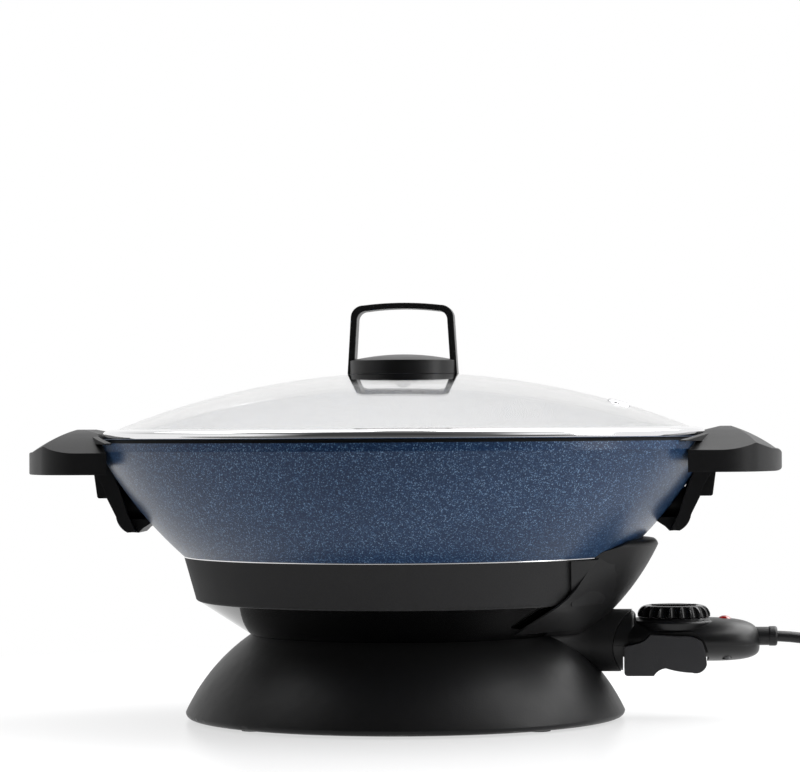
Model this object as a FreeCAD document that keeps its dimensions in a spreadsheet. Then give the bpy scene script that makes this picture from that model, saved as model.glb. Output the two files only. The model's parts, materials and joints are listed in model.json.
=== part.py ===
"""Electric wok with a lift-off glass lid and a removable temperature probe.

Millimetres, +Z up.  The pan's axis is the Z axis and the base stands on z = 0.  +X points along the
probe's socket, under the right handle, and -Y is the front.
"""
import FreeCAD, Part
import math
import os

import Sketcher
from FreeCAD import Placement, Rotation, Vector

# ------------------------------------------------------------------------------------ driving sizes
SIZES = {
    # pan
    "pan_rim_radius": 192.5,
    "pan_rim_top": 174.4,
    "pan_rim_band": 5.0,
    "pan_rim_flare": 0.6,
    "pan_rim_wall": 4.0,
    "pan_ledge_depth": 2.8,
    "pan_ledge_width": 4.7,
    "pan_side_arc": 250.0,
    "pan_break_radius": 140.0,
    "pan_break_height": 103.8,
    "pan_bowl_arc": 160.0,
    "pan_floor_radius": 30.0,
    "pan_floor_height": 60.5,
    "pan_wall": 3.2,
    # heating element, cast into a rib under the pan
    "element_ring_radius": 80.0,
    "element_height": 61.5,
    "element_radius": 4.0,
    "element_cover": 3.0,
    "terminal_radius": 2.5,
    "terminal_spacing": 20.0,
    "terminal_length": 15.0,
    # probe socket
    "socket_height": 48.5,
    "boss_inner_end": -25.0,
    "boss_outer_end": 15.0,
    "boss_half_width": 16.0,
    "boss_below_axis": 8.0,
    "boss_above_axis": 11.5,
    "boss_gap": 1.2,
    "tube_radius": 19.6,
    "tube_wall": 2.6,
    "tube_end": 49.0,
    "shroud_gap": 0.3,
    "mouth_centre_out": 60.8,
    "mouth_centre_height": 45.2,
    "mouth_radius": 27.0,
    "funnel_root_out": -27.0,
    "funnel_root_half_width": 66.5,
    "funnel_root_half_height": 3.2,
    "funnel_root_height": 53.0,
    "funnel_throat_out": 23.0,
    "funnel_width_power": 2.2,
    "funnel_height_power": 1.4,
    # collar and heat shield
    "collar_inset": 0.8,
    "collar_taper": 7.3,
    "collar_foot": 77.0,
    "collar_wall": 3.0,
    "collar_foot_curve": 2.2,
    "shield_inset": 1.9,
    "shield_drop": 2.0,
    "shield_wall": 1.5,
    "opening_clearance": 2.0,
    # probe guard
    "guard_centre_inset": 61.3,
    "guard_top_radius": 89.4,
    "guard_top": 112.7,
    "guard_crest": 109.0,
    "guard_crest_inset": 2.4,
    "guard_foot_radius": 45.0,
    "guard_seam": 0.5,
    "guard_face_arc": 155.0,
    "guard_side_drop": 12.0,
    "guard_roof_rise": 6.0,
    "guard_wall": 3.0,
    "guard_flange_angle": 42.0,
    "guard_flange_inset": 25.4,
    "guard_flange_wall": 1.8,
    # base
    "base_foot_radius": 138.5,
    "base_edge_height": 5.0,
    "base_edge_inset": 3.0,
    "base_flank_arc": 118.0,
    "base_top_inset": 33.0,
    "base_top": 53.5,
    "base_wall": 3.0,
    "base_gap": 1.5,
    "base_rib_count": 12,
    "base_rib_wall": 2.0,
    "base_rib_inner_radius": 112.0,
    "foot_pad_radius": 8.0,
    "foot_pad_height": 4.0,
    "foot_circle_radius": 121.0,
    "foot_count": 4,
    "fixing_circle_radius": 54.0,
    "fixing_boss_radius": 6.5,
    "fixing_screw_radius": 2.0,
    "fixing_head_radius": 4.0,
    "fixing_head_height": 2.6,
    "fixing_count": 3,
    # side handles
    "handle_reach": 45.1,
    "handle_half_span": 76.0,
    "handle_end_corner": 28.6,
    "handle_outer_arc": 122.0,
    "handle_drop": 19.4,
    "handle_peak_out": 8.5,
    "handle_rise": 8.6,
    "handle_peak_width": 5.0,
    "handle_crease_drop": 6.9,
    "handle_top_arc": 95.0,
    "handle_crown_arc": 190.0,
    "handle_crown_rise": 1.0,
    "handle_inner_drop": 2.8,
    "handle_gap": 0.3,
    "handle_lip_wall": 3.7,
    "handle_lip_angle": 27.0,
    "handle_leg_half_width": 24.0,
    "handle_leg_wall": 3.0,
    "handle_foot_arc": 13.0,
    "handle_root_arc": 34.0,
    "handle_screw_share": 0.442,
    "handle_screw_radius": 2.2,
    "handle_screw_head": 4.2,
    "handle_block_half_width": 12.0,
    "lug_radius": 8.0,
    "lug_length": 7.0,
    "lug_proud": 4.3,
    # lid
    "lid_rise": 37.7,
    "lid_glass_wall": 4.0,
    "lid_glass_inset": 5.5,
    "lid_glass_seat": 1.9,
    "lid_rim_inset": 2.5,
    "lid_rim_gap": 1.9,
    "lid_rim_height": 5.9,
    "lid_rim_lip": 7.0,
    "lid_step_wall": 3.0,
    "lid_step_gap": 1.0,
    "vent_inset": 48.0,
    "vent_turn": -12.0,
    "vent_flange_radius": 7.5,
    "vent_sleeve_radius": 4.5,
    "vent_bore_radius": 2.6,
    "vent_flange_wall": 1.2,
    # lid handle
    "grip_half_width": 34.7,
    "grip_top_half_width": 32.5,
    "grip_height": 43.8,
    "grip_arch": 1.5,
    "grip_corner": 8.0,
    "grip_wall": 3.6,
    "grip_leg_wall": 4.0,
    "grip_half_depth": 10.0,
    "grip_base_edge": 7.3,
    "grip_base_rise": 11.4,
    "grip_seal_radius": 30.0,
    "grip_seal_wall": 4.0,
    "grip_screw_radius": 2.5,
    "grip_screw_head": 6.0,
    "grip_screw_dome": 3.5,
    "grip_screw_length": 11.0,
    # probe
    "probe_nose_radius": 16.4,
    "probe_nose_end": 19.0,
    "probe_nose_back": 48.6,
    "probe_shoulder_radius": 18.9,
    "probe_shoulder_gap": 0.4,
    "probe_top": 62.9,
    "probe_bottom": 35.5,
    "probe_tail_out": 83.0,
    "probe_back": 126.0,
    "probe_half_width": 25.0,
    "probe_height_power": 3.6,
    "probe_width_power": 2.4,
    "probe_parting": 46.4,
    "probe_wall": 2.2,
    "dial_out": 72.5,
    "dial_radius": 22.9,
    "dial_foot": 63.6,
    "dial_top": 70.6,
    "dial_shoulder": 5.5,
    "dial_flutes": 20,
    "dial_flute_radius": 3.2,
    "dial_flute_lean": 20.0,
    "pedestal_radius": 26.6,
    "pedestal_foot": 56.0,
    "dial_shaft_radius": 3.0,
    "running_gap": 0.08,
    "lens_out": 104.0,
    "lens_radius": 4.4,
    "lens_proud": 1.9,
    "stem_radius": 3.0,
    "stem_end": -19.0,
    "stem_gap": 0.4,
    "contact_radius": 4.2,
    "contact_length": 22.0,
    "probe_screw_side": 12.2,
    "probe_screw_radius": 1.3,
    "probe_screw_recess": 3.0,
    # trigger
    "trigger_half_width": 25.6,
    "trigger_inner_half_width": 21.6,
    "trigger_pin_out": 63.0,
    "trigger_pin_height": 44.0,
    "trigger_pin_radius": 1.5,
    "trigger_front": 41.2,
    "trigger_back": 92.2,
    "trigger_nose_foot": 27.9,
    "trigger_scoop": 32.6,
    "trigger_cheek_top": 53.4,
    "trigger_floor": 35.6,
    "trigger_travel": 6.0,
    "trigger_gap": 0.7,
    # cord
    "cord_radius": 3.4,
    "cord_exit_height": 51.0,
    "cord_lay_height": 3.7,
    "sleeve_radius": 5.75,
    "sleeve_end": 137.0,
    "sleeve_ring_radius": 6.15,
    "coil_out": 305.0,
    "coil_side": 51.6,
    "coil_turn_radius": 41.6,
    "coil_outer_radius": 45.0,
    "coil_inner_radius": 31.0,
    "coil_height": 14.0,
    "plug_side": 92.0,
    "plug_length": 36.0,
    "plug_half_width": 13.0,
    "plug_half_height": 10.5,
    "plug_neck_half_width": 6.5,
    "plug_pin_length": 17.0,
    "plug_pin_width": 6.3,
    "plug_pin_wall": 1.6,
    "plug_pin_spacing": 12.7,
}

doc = FreeCAD.newDocument("electric_wok")
sheet = doc.addObject("Spreadsheet::Sheet", "Sizes")
for row, (alias, amount) in enumerate(SIZES.items(), start=1):
    sheet.set(f"A{row}", alias)
    sheet.set(f"B{row}", str(amount))
    sheet.setAlias(f"B{row}", alias)
doc.recompute()


class Size:
    """A number that remembers the sheet expression it came from."""

    def __init__(self, value, text):
        self.value = value
        self.text = text

    def __add__(self, other):
        return Size(self.value + value_of(other), f"({self.text} + {text_of(other)})")

    def __radd__(self, other):
        return Size(value_of(other) + self.value, f"({text_of(other)} + {self.text})")

    def __sub__(self, other):
        return Size(self.value - value_of(other), f"({self.text} - {text_of(other)})")

    def __rsub__(self, other):
        return Size(value_of(other) - self.value, f"({text_of(other)} - {self.text})")

    def __mul__(self, other):
        return Size(self.value * value_of(other), f"({self.text} * {text_of(other)})")

    __rmul__ = __mul__

    def __truediv__(self, other):
        return Size(self.value / value_of(other), f"({self.text} / {text_of(other)})")

    def __neg__(self):
        return Size(-self.value, f"(0 - {self.text})")


def value_of(size):
    return size.value if isinstance(size, Size) else float(size)


def text_of(size):
    return size.text if isinstance(size, Size) else f"({float(size)!r})"


def root_of(size):
    return Size(math.sqrt(size.value), f"sqrt({size.text})")


def dome_arc(half_width, rise):
    """The radius of a dome that is level at its middle."""
    return (half_width * half_width + rise * rise) / (rise * 2)


def size_of(alias):
    return Size(float(sheet.get(alias)), f"Sizes.{alias}")


class Sizes:
    """Every alias of the sheet as an attribute, such as S.pan_wall."""

    def __init__(self):
        for name in SIZES:
            setattr(self, name, size_of(name))


S = Sizes()

# The pan's break sets the pieces below it, one after another, down to the top edge of the base.
collar_top_radius = S.pan_break_radius - S.collar_inset
collar_top = S.pan_break_height - S.collar_inset
collar_foot_radius = collar_top_radius - S.collar_taper
shield_rim_radius = collar_foot_radius - S.shield_inset
shield_rim_height = S.collar_foot - S.shield_drop
base_top_radius = shield_rim_radius - S.base_top_inset

# These places along the socket, the probe and the cord are measured outward from that edge.
FROM_BASE_EDGE = (
    "boss_inner_end", "boss_outer_end", "tube_end", "mouth_centre_out", "funnel_root_out",
    "funnel_throat_out", "probe_nose_end", "probe_nose_back", "probe_tail_out", "probe_back",
    "dial_out", "lens_out", "stem_end", "trigger_pin_out", "trigger_front", "trigger_back",
    "sleeve_end", "coil_out",
)
for name in FROM_BASE_EDGE:
    setattr(S, name, base_top_radius + size_of(name))


# ------------------------------------------------------------------------------------ tools of the trade
TURNS = {
    "XY": Rotation(),
    "XZ": Rotation(Vector(1, 0, 0), 90),
    "YZ": Rotation(Vector(1, 1, 1), 120),
}
AXIS_TURNS = {
    "X": Rotation(Vector(0, 1, 0), 90),
    "Y": Rotation(Vector(1, 0, 0), -90),
    "Z": Rotation(),
}
AXES = {"X": Vector(1, 0, 0), "Y": Vector(0, 1, 0), "Z": Vector(0, 0, 1)}


def bind(thing, prop, size):
    """Set a property and, where it comes from the sheet, tie it there."""
    if isinstance(size, Size):
        thing.setExpression(prop, size.text)
    elif prop.startswith("Placement.Base"):
        thing.setExpression(prop, repr(float(size)))
    else:
        setattr(thing, prop, size)


def place(thing, spot, turn=Rotation()):
    thing.Placement = Placement(Vector(*(value_of(number) for number in spot)), turn)
    for letter, number in zip("xyz", spot):
        if isinstance(number, Size):
            bind(thing, f"Placement.Base.{letter}", number)
    return thing


def draw(sketch, outline):
    """Draw a closed outline of (x, y) points; (x, y, radius) is reached by an arc.

    A positive radius turns anticlockwise.  Every point and radius is tied to the sheet.
    """
    count = len(outline)
    for index in range(count):
        start, end = outline[index], outline[(index + 1) % count]
        first = Vector(value_of(start[0]), value_of(start[1]), 0)
        last = Vector(value_of(end[0]), value_of(end[1]), 0)
        if len(end) == 2:
            sketch.addGeometry(Part.LineSegment(first, last))
            continue
        radius = value_of(end[2])
        chord = last - first
        left = Vector(-chord.y, chord.x, 0).normalize()
        reach = math.sqrt(radius ** 2 - (chord.Length / 2) ** 2)
        centre = (first + last) / 2 + left * math.copysign(reach, radius)
        a = math.atan2(first.y - centre.y, first.x - centre.x)
        b = math.atan2(last.y - centre.y, last.x - centre.x)
        circle = Part.Circle(centre, Vector(0, 0, 1), abs(radius))
        if radius < 0:
            a, b = b, a
        sketch.addGeometry(Part.ArcOfCircle(circle, a, b if b > a else b + 2 * math.pi))
    backward = [len(outline[(i + 1) % count]) == 3 and value_of(outline[(i + 1) % count][2]) < 0
                for i in range(count)]
    for index in range(count):
        after = (index + 1) % count
        end_point = 1 if backward[index] else 2
        start_point = 2 if backward[index] else 1
        next_start = 2 if backward[after] else 1
        sketch.addConstraint(Sketcher.Constraint("Coincident", index, end_point, after, next_start))
        for kind, number in (("DistanceX", outline[index][0]), ("DistanceY", outline[index][1])):
            at = sketch.addConstraint(Sketcher.Constraint(kind, index, start_point, value_of(number)))
            if isinstance(number, Size):
                sketch.setExpression(f"Constraints[{at}]", number.text)
        if len(outline[after]) == 3:
            radius = outline[after][2]
            at = sketch.addConstraint(Sketcher.Constraint("Radius", index, abs(value_of(radius))))
            if isinstance(radius, Size):
                text = radius.text if radius.value > 0 else f"(0 - {radius.text})"
                sketch.setExpression(f"Constraints[{at}]", text)
    return sketch


def turned(label, outline):
    """A PartDesign body turned about the Z axis from an outline of (radius, height) points."""
    body = doc.addObject("PartDesign::Body", label)
    sketch = body.newObject("Sketcher::SketchObject", f"{label}_outline")
    plane = next(item for item in body.Origin.OriginFeatures if item.Role == "XZ_Plane")
    sketch.AttachmentSupport = [(plane, "")]
    sketch.MapMode = "FlatFace"
    draw(sketch, outline)
    turn = body.newObject("PartDesign::Revolution", f"{label}_turn")
    turn.Profile = sketch
    turn.ReferenceAxis = (sketch, ["V_Axis"])
    turn.Angle = 360
    body.Tip = turn
    return body


def padded(label, plane, outline, start, end):
    """An outline in plane XY, XZ or YZ, made solid from start to end along the third axis."""
    sketch = draw(doc.addObject("Sketcher::SketchObject", f"{label}_outline"), outline)
    if plane == "XZ":
        spot = (0, end, 0)
    elif plane == "XY":
        spot = (0, 0, start)
    else:
        spot = (start, 0, 0)
    place(sketch, spot, TURNS[plane])
    solid = doc.addObject("Part::Extrusion", label)
    solid.Base = sketch
    solid.DirMode = "Normal"
    solid.Solid = True
    bind(solid, "LengthFwd", end - start)
    return solid


def swung(label, outline, centre_out, from_angle, sweep):
    """An outline of (radius, height) points turned through part of a circle about a vertical axis."""
    sketch = draw(doc.addObject("Sketcher::SketchObject", f"{label}_outline"), outline)
    place(sketch, (0, 0, 0), TURNS["XZ"])
    solid = doc.addObject("Part::Revolution", label)
    solid.Source = sketch
    solid.Axis = Vector(0, 0, 1)
    solid.Solid = True
    bind(solid, "Angle", sweep)
    place(solid, (centre_out, 0, 0), Rotation(Vector(0, 0, 1), value_of(from_angle)))
    if isinstance(from_angle, Size):
        solid.setExpression("Placement.Rotation.Angle", from_angle.text)
    return solid


def rod(label, radius, spot, axis, length):
    solid = doc.addObject("Part::Cylinder", label)
    bind(solid, "Radius", radius)
    bind(solid, "Height", length)
    return place(solid, spot, AXIS_TURNS[axis])


def block(label, low, high):
    solid = doc.addObject("Part::Box", label)
    for prop, a, b in zip(("Length", "Width", "Height"), low, high):
        bind(solid, prop, b - a)
    return place(solid, low)


def ball(label, radius, spot):
    solid = doc.addObject("Part::Sphere", label)
    bind(solid, "Radius", radius)
    return place(solid, spot)


def cut(label, base, *tools):
    for index, tool in enumerate(tools, start=1):
        last = index == len(tools)
        step = doc.addObject("Part::Cut", label if last else f"{label}_cut_{index}")
        step.Base = base
        step.Tool = tool
        base = step
    return base


def fuse(label, *shapes):
    joined = doc.addObject("Part::MultiFuse", label)
    joined.Shapes = list(shapes)
    return joined


def common(label, *shapes):
    shared = doc.addObject("Part::MultiCommon", label)
    shared.Shapes = list(shapes)
    return shared


def group(label, *shapes):
    together = doc.addObject("Part::Compound", label)
    together.Links = list(shapes)
    return together


def mirrored(label, source, normal):
    copy = doc.addObject("Part::Mirroring", label)
    copy.Source = source
    copy.Normal = AXES[normal]
    return copy


def rounded_path(points, share=0.45, radius=None):
    """Straight runs through the points, joined by tangent arcs; returns the wire and the radii.

    Each arc's radius is a share of its shorter run over the tangent of half its turn, unless given.
    """
    points = [Vector(*(value_of(number) for number in point)) for point in points]
    edges, radii, begin = [], [], points[0]
    for before, corner, after in zip(points, points[1:], points[2:]):
        inward = (corner - before).normalize()
        outward = (after - corner).normalize()
        half_turn = inward.getAngle(outward) / 2
        if radius is None:
            setback = share * min((corner - before).Length, (after - corner).Length)
        else:
            setback = value_of(radius) * math.tan(half_turn)
        radii.append(setback / math.tan(half_turn))
        arc_start = corner - inward * setback
        arc_end = corner + outward * setback
        depth = radii[-1] * (1 / math.cos(half_turn) - 1)
        middle = corner + (outward - inward).normalize() * depth
        edges.append(Part.LineSegment(begin, arc_start).toShape())
        edges.append(Part.Arc(arc_start, middle, arc_end).toShape())
        begin = arc_end
    edges.append(Part.LineSegment(begin, points[-1]).toShape())
    return edges, radii


def tube_along(label, edges, radius):
    """A round tube along a chain of edges, capped at both ends."""
    wire = Part.Wire(edges)
    first = edges[0]
    start = first.valueAt(first.FirstParameter)
    heading = first.tangentAt(first.FirstParameter)
    section = Part.Wire([Part.Circle(start, heading, value_of(radius)).toShape()])
    feature = doc.addObject("Part::Feature", label)
    feature.Shape = wire.makePipeShell([section], True, False)
    return feature


# ------------------------------------------------------------------------------------ shared outer forms
# The outsides that other pieces seat on are filled solids, used again as cutting tools.
pan_side_start = S.pan_rim_radius - S.pan_rim_flare
pan_band_foot = S.pan_rim_top - S.pan_rim_band
pan_ledge_height = S.pan_rim_top - S.pan_ledge_depth
ledge_inner = S.pan_rim_radius - S.pan_rim_wall - S.pan_ledge_width
pan_outside = turned("pan_outside", [
    (0, S.pan_floor_height),
    (S.pan_floor_radius, S.pan_floor_height),
    (S.pan_break_radius, S.pan_break_height, S.pan_bowl_arc),
    (pan_side_start, pan_band_foot, S.pan_side_arc),
    (S.pan_rim_radius, pan_band_foot),
    (S.pan_rim_radius, S.pan_rim_top),
    (0, S.pan_rim_top),
])
reach_out = S.pan_rim_radius - S.pan_break_radius
reach_up = S.pan_rim_top - S.pan_break_height


def wall_radius(height):
    """How far out the pan's side wall is at a height."""
    out = pan_side_start - S.pan_break_radius
    up = pan_band_foot - S.pan_break_height
    chord = root_of(out * out + up * up)
    reach = root_of(S.pan_side_arc * S.pan_side_arc - chord * chord / 4) / chord
    centre_out = (pan_side_start + S.pan_break_radius) / 2 - up * reach
    centre_up = (pan_band_foot + S.pan_break_height) / 2 + out * reach
    drop = height - centre_up
    return centre_out + root_of(S.pan_side_arc * S.pan_side_arc - drop * drop)


diagonal_wall = S.pan_wall * math.sqrt(0.5)
pan_inside = turned("pan_inside", [
    (0, S.pan_floor_height + S.pan_wall),
    (S.pan_floor_radius, S.pan_floor_height + S.pan_wall),
    (S.pan_break_radius - diagonal_wall, S.pan_break_height + diagonal_wall, S.pan_bowl_arc - S.pan_wall),
    (ledge_inner, pan_ledge_height, S.pan_side_arc - S.pan_wall),
    (S.pan_rim_radius - S.pan_rim_wall, pan_ledge_height),
    (S.pan_rim_radius - S.pan_rim_wall, S.pan_rim_top + 1),
    (0, S.pan_rim_top + 1),
])
body_outside = turned("body_outside", [
    (0, S.base_top),
    (base_top_radius, S.base_top),
    (shield_rim_radius, shield_rim_height),
    (collar_foot_radius, S.collar_foot, S.collar_foot_curve),
    (collar_top_radius, collar_top),
    (0, collar_top),
])

# ------------------------------------------------------------------------------------ heating element
half_spacing = S.terminal_spacing / 2
ring = S.element_ring_radius
terminal_face = S.boss_outer_end


def element_side(side):
    """Edges from a terminal, up through the boss, to the start of the heating ring."""
    end_angle = math.radians(18)
    on_ring = (ring.value * math.cos(end_angle), side * ring.value * math.sin(end_angle))
    along = (math.sin(end_angle), -side * math.cos(end_angle))
    reach = (side * half_spacing.value - on_ring[1]) / along[1]
    corner = (on_ring[0] + reach * along[0], side * half_spacing.value, S.element_height)
    points = [
        (terminal_face, side * half_spacing, S.socket_height),
        (corner[0] + value_of(S.element_height - S.socket_height) + 2, side * half_spacing,
         S.socket_height),
        corner,
        (on_ring[0], on_ring[1], S.element_height),
    ]
    return rounded_path(points, radius=7.0)[0], Vector(on_ring[0], on_ring[1], S.element_height.value)


def heating_element():
    first, ring_start = element_side(1)
    last, ring_end = element_side(-1)
    far_side = Vector(-ring.value, 0, S.element_height.value)
    edges = first + [Part.Arc(ring_start, far_side, ring_end).toShape()]
    for edge in reversed(last):
        start, end = edge.valueAt(edge.LastParameter), edge.valueAt(edge.FirstParameter)
        middle = edge.valueAt((edge.FirstParameter + edge.LastParameter) / 2)
        straight = isinstance(edge.Curve, Part.Line)
        edges.append((Part.LineSegment(start, end) if straight else Part.Arc(start, middle, end)).toShape())
    return tube_along("heating_element", edges, S.element_radius)


element = heating_element()

# ------------------------------------------------------------------------------------ pan
rib_outer = S.element_ring_radius + S.element_radius + S.element_cover
rib_inner = S.element_ring_radius - S.element_radius - S.element_cover
element_rib = turned("element_rib", [
    (rib_inner, S.element_height - S.element_radius - 1),
    (rib_outer, S.element_height - S.element_radius - 1),
    (rib_outer, S.pan_break_height),
    (rib_inner, S.pan_break_height),
])
boss_foot = S.socket_height - S.boss_below_axis
tube_bore_radius = S.tube_radius - S.tube_wall


def boss_core(label, gap):
    """The end of the boss that stands out of the heat shield, inside the socket's moulding."""
    length = S.boss_outer_end - S.boss_inner_end + S.opening_clearance
    start = S.boss_inner_end - S.opening_clearance
    return common(
        label,
        rod(f"{label}_round", tube_bore_radius - S.boss_gap + gap, (start, 0, S.socket_height), "X", length),
        block(f"{label}_flats", (start, -S.tube_radius, boss_foot - gap),
              (start + length, S.tube_radius, S.socket_height + S.boss_above_axis + gap)))


socket_boss = common(
    "socket_boss",
    block("boss_block", (S.boss_inner_end, -S.boss_half_width, boss_foot),
          (S.boss_outer_end, S.boss_half_width, S.pan_break_height)),
    fuse("boss_room", body_outside, boss_core("boss_end", 0.0)))
deck_top = S.base_top + S.shield_wall


def around(label, make, count, first=0.0):
    """Copies made by a function of name and angle, evenly round the axis."""
    return [make(f"{label}_{index + 1}", first + 360.0 * index / count) for index in range(count)]


def turned_spot(radius, angle, height):
    """A point at a radius and an angle from +X, tied to the sheet."""
    radians = math.radians(angle)
    return radius * math.cos(radians), radius * math.sin(radians), height


fixing_count = int(S.fixing_count.value)
fixing_bosses = around("fixing_boss", lambda name, angle: rod(
    name, S.fixing_boss_radius, turned_spot(S.fixing_circle_radius, angle, deck_top), "Z",
    S.pan_break_height - deck_top), fixing_count, 60)
screw_seat = S.base_top - S.base_wall
screw_length = 14.0
fixing_holes = around("fixing_hole", lambda name, angle: rod(
    name, S.fixing_screw_radius, turned_spot(S.fixing_circle_radius, angle, screw_seat), "Z",
    screw_length), fixing_count, 60)
stem_bore = rod("sensor_well", S.stem_radius + S.stem_gap,
                (S.stem_end - S.stem_gap, 0, S.socket_height), "X",
                S.boss_outer_end - S.stem_end + 1)
handle_screw_height = S.pan_break_height + reach_up * S.handle_screw_share
lug_face = wall_radius(handle_screw_height) + S.lug_proud
handle_lugs = [rod("right_lug", S.lug_radius, (S.pan_break_radius, 0, handle_screw_height), "X",
                   lug_face - S.pan_break_radius)]
handle_lugs.append(mirrored("left_lug", handle_lugs[0], "X"))
handle_screw_tip = lug_face - S.lug_length
lug_holes = [rod("right_lug_hole", S.handle_screw_radius, (handle_screw_tip, 0, handle_screw_height),
                 "X", S.lug_length + 1)]
lug_holes.append(mirrored("left_lug_hole", lug_holes[0], "X"))
pan_solid = fuse("pan_solid", pan_outside, element_rib, socket_boss, *fixing_bosses, *handle_lugs)
pan = cut("pan", pan_solid, pan_inside, element, stem_bore, *fixing_holes, *lug_holes)

# ------------------------------------------------------------------------------------ terminals
terminals = [rod("right_terminal", S.terminal_radius, (terminal_face, half_spacing, S.socket_height),
                 "X", S.terminal_length)]
terminals.append(mirrored("left_terminal", terminals[0], "Y"))
element_terminals = group("element_terminals", *terminals)
bead_length = 3.0
bead = rod("bead", S.terminal_radius + 2, (terminal_face, half_spacing, S.socket_height), "X",
           bead_length)
bead_hole = rod("bead_hole", S.terminal_radius,
                (terminal_face, half_spacing, S.socket_height), "X", bead_length)
right_bead = cut("right_bead", bead, bead_hole)
terminal_insulators = group("terminal_insulators", right_bead, mirrored("left_bead", right_bead, "Y"))

# ------------------------------------------------------------------------------------ collar and shield
collar_ring = cut("collar_ring", turned("collar_solid", [
    (shield_rim_radius - S.collar_wall, shield_rim_height),
    (shield_rim_radius, shield_rim_height),
    (collar_foot_radius, S.collar_foot, S.collar_foot_curve),
    (collar_top_radius, collar_top),
    (collar_top_radius - S.collar_wall, collar_top),
    (collar_foot_radius - S.collar_wall, S.collar_foot + 1),
]), pan_outside)

boss_opening = block(
    "boss_opening",
    (S.boss_inner_end - S.opening_clearance, -S.boss_half_width - S.opening_clearance, boss_foot),
    (S.boss_outer_end + 4, S.boss_half_width + S.opening_clearance, S.pan_break_height))
shield_run = shield_rim_radius - base_top_radius
shield_rise = shield_rim_height - S.base_top
shield_slope = shield_rise / shield_run
shield_shift = S.shield_wall * root_of(shield_slope * shield_slope + 1)
heat_shield = cut("heat_shield", turned("shield_solid", [
    (0, S.base_top),
    (base_top_radius, S.base_top),
    (shield_rim_radius, shield_rim_height),
    (shield_rim_radius - 3, shield_rim_height),
    (shield_rim_radius - 3, shield_rim_height - 3 * shield_slope + shield_shift),
    (base_top_radius - (shield_shift - S.shield_wall) / shield_slope, deck_top),
    (0, deck_top),
]), boss_opening, *fixing_holes)

# ------------------------------------------------------------------------------------ socket shroud
def ellipse(label, out, half_width, half_height, height):
    """An elliptical section in a plane of constant x; the wider half axis is its first."""
    curve = doc.addObject("Part::Ellipse", label)
    upright = value_of(half_height) > value_of(half_width)
    bind(curve, "MajorRadius", half_height if upright else half_width)
    bind(curve, "MinorRadius", half_width if upright else half_height)
    return place(curve, (out, 0, height), TURNS["YZ"])


FLARE_SECTIONS = 6


def funnel(label, wall):
    """The flared moulding between the flat wing on the shield and the round tube.

    Its sections are ellipses: the width dies away quickly from the root, the height more slowly.
    """
    sections = []
    for step in range(FLARE_SECTIONS):
        left = 1 - step / (FLARE_SECTIONS - 1)
        widening = left ** S.funnel_width_power.value
        flattening = left ** S.funnel_height_power.value
        sections.append(ellipse(
            f"{label}_section_{step}",
            S.funnel_throat_out - (S.funnel_throat_out - S.funnel_root_out) * left,
            S.tube_radius + (S.funnel_root_half_width - S.tube_radius) * widening + wall,
            S.tube_radius + (S.funnel_root_half_height - S.tube_radius) * flattening + wall,
            S.socket_height + (S.funnel_root_height - S.socket_height) * flattening))
    loft = doc.addObject("Part::Loft", f"{label}_flare")
    loft.Sections = sections
    loft.Solid = True
    tube = rod(f"{label}_tube", S.tube_radius + wall, (S.funnel_throat_out, 0, S.socket_height), "X",
               S.tube_end - S.funnel_throat_out)
    return fuse(label, loft, tube)


shroud_solid = funnel("shroud_solid", 0.0)
shroud_space = funnel("shroud_space", S.shroud_gap)
tube_bore = rod("tube_bore", tube_bore_radius, (S.boss_outer_end - 2, 0, S.socket_height), "X",
                S.tube_end - S.boss_outer_end + 3)
mouth_half_length = S.tube_radius * 2
mouth_cut = rod("mouth_cut", S.mouth_radius,
                (S.mouth_centre_out, -mouth_half_length, S.mouth_centre_height), "Y",
                mouth_half_length * 2)
base_top_space = rod("base_top_space", base_top_radius + S.shroud_gap, (0, 0, 0), "Z", collar_top)
socket_shroud = cut("socket_shroud", shroud_solid, body_outside, boss_core("boss_clearance", S.boss_gap),
                    tube_bore, mouth_cut, base_top_space)

# ------------------------------------------------------------------------------------ probe guard
guard_foot = S.base_top + S.guard_seam
guard_centre_out = collar_foot_radius - S.guard_centre_inset
guard_outside = swung("guard_outside", [
    (0, guard_foot),
    (S.guard_foot_radius, guard_foot),
    (S.guard_top_radius, S.guard_crest, S.guard_face_arc),
    (S.guard_top_radius - S.guard_crest_inset, S.guard_top, 4.5),
    (0, S.guard_top + 8),
], guard_centre_out, -90, 180)
guard_inside = swung("guard_inside", [
    (0, guard_foot - 1),
    (S.guard_foot_radius - S.guard_wall, guard_foot - 1),
    (S.guard_top_radius - S.guard_wall - 3, S.guard_crest - 3, S.guard_face_arc - S.guard_wall),
    (0, S.guard_crest + 2),
], guard_centre_out, -90, 180)
guard_reach = guard_centre_out + S.guard_top_radius
guard_side_half = 84.0
guard_side_top = S.guard_top - S.guard_side_drop
guard_roof_top = S.guard_top + S.guard_roof_rise
guard_roof_arc = dome_arc(guard_side_half, guard_roof_top - guard_side_top)
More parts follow.
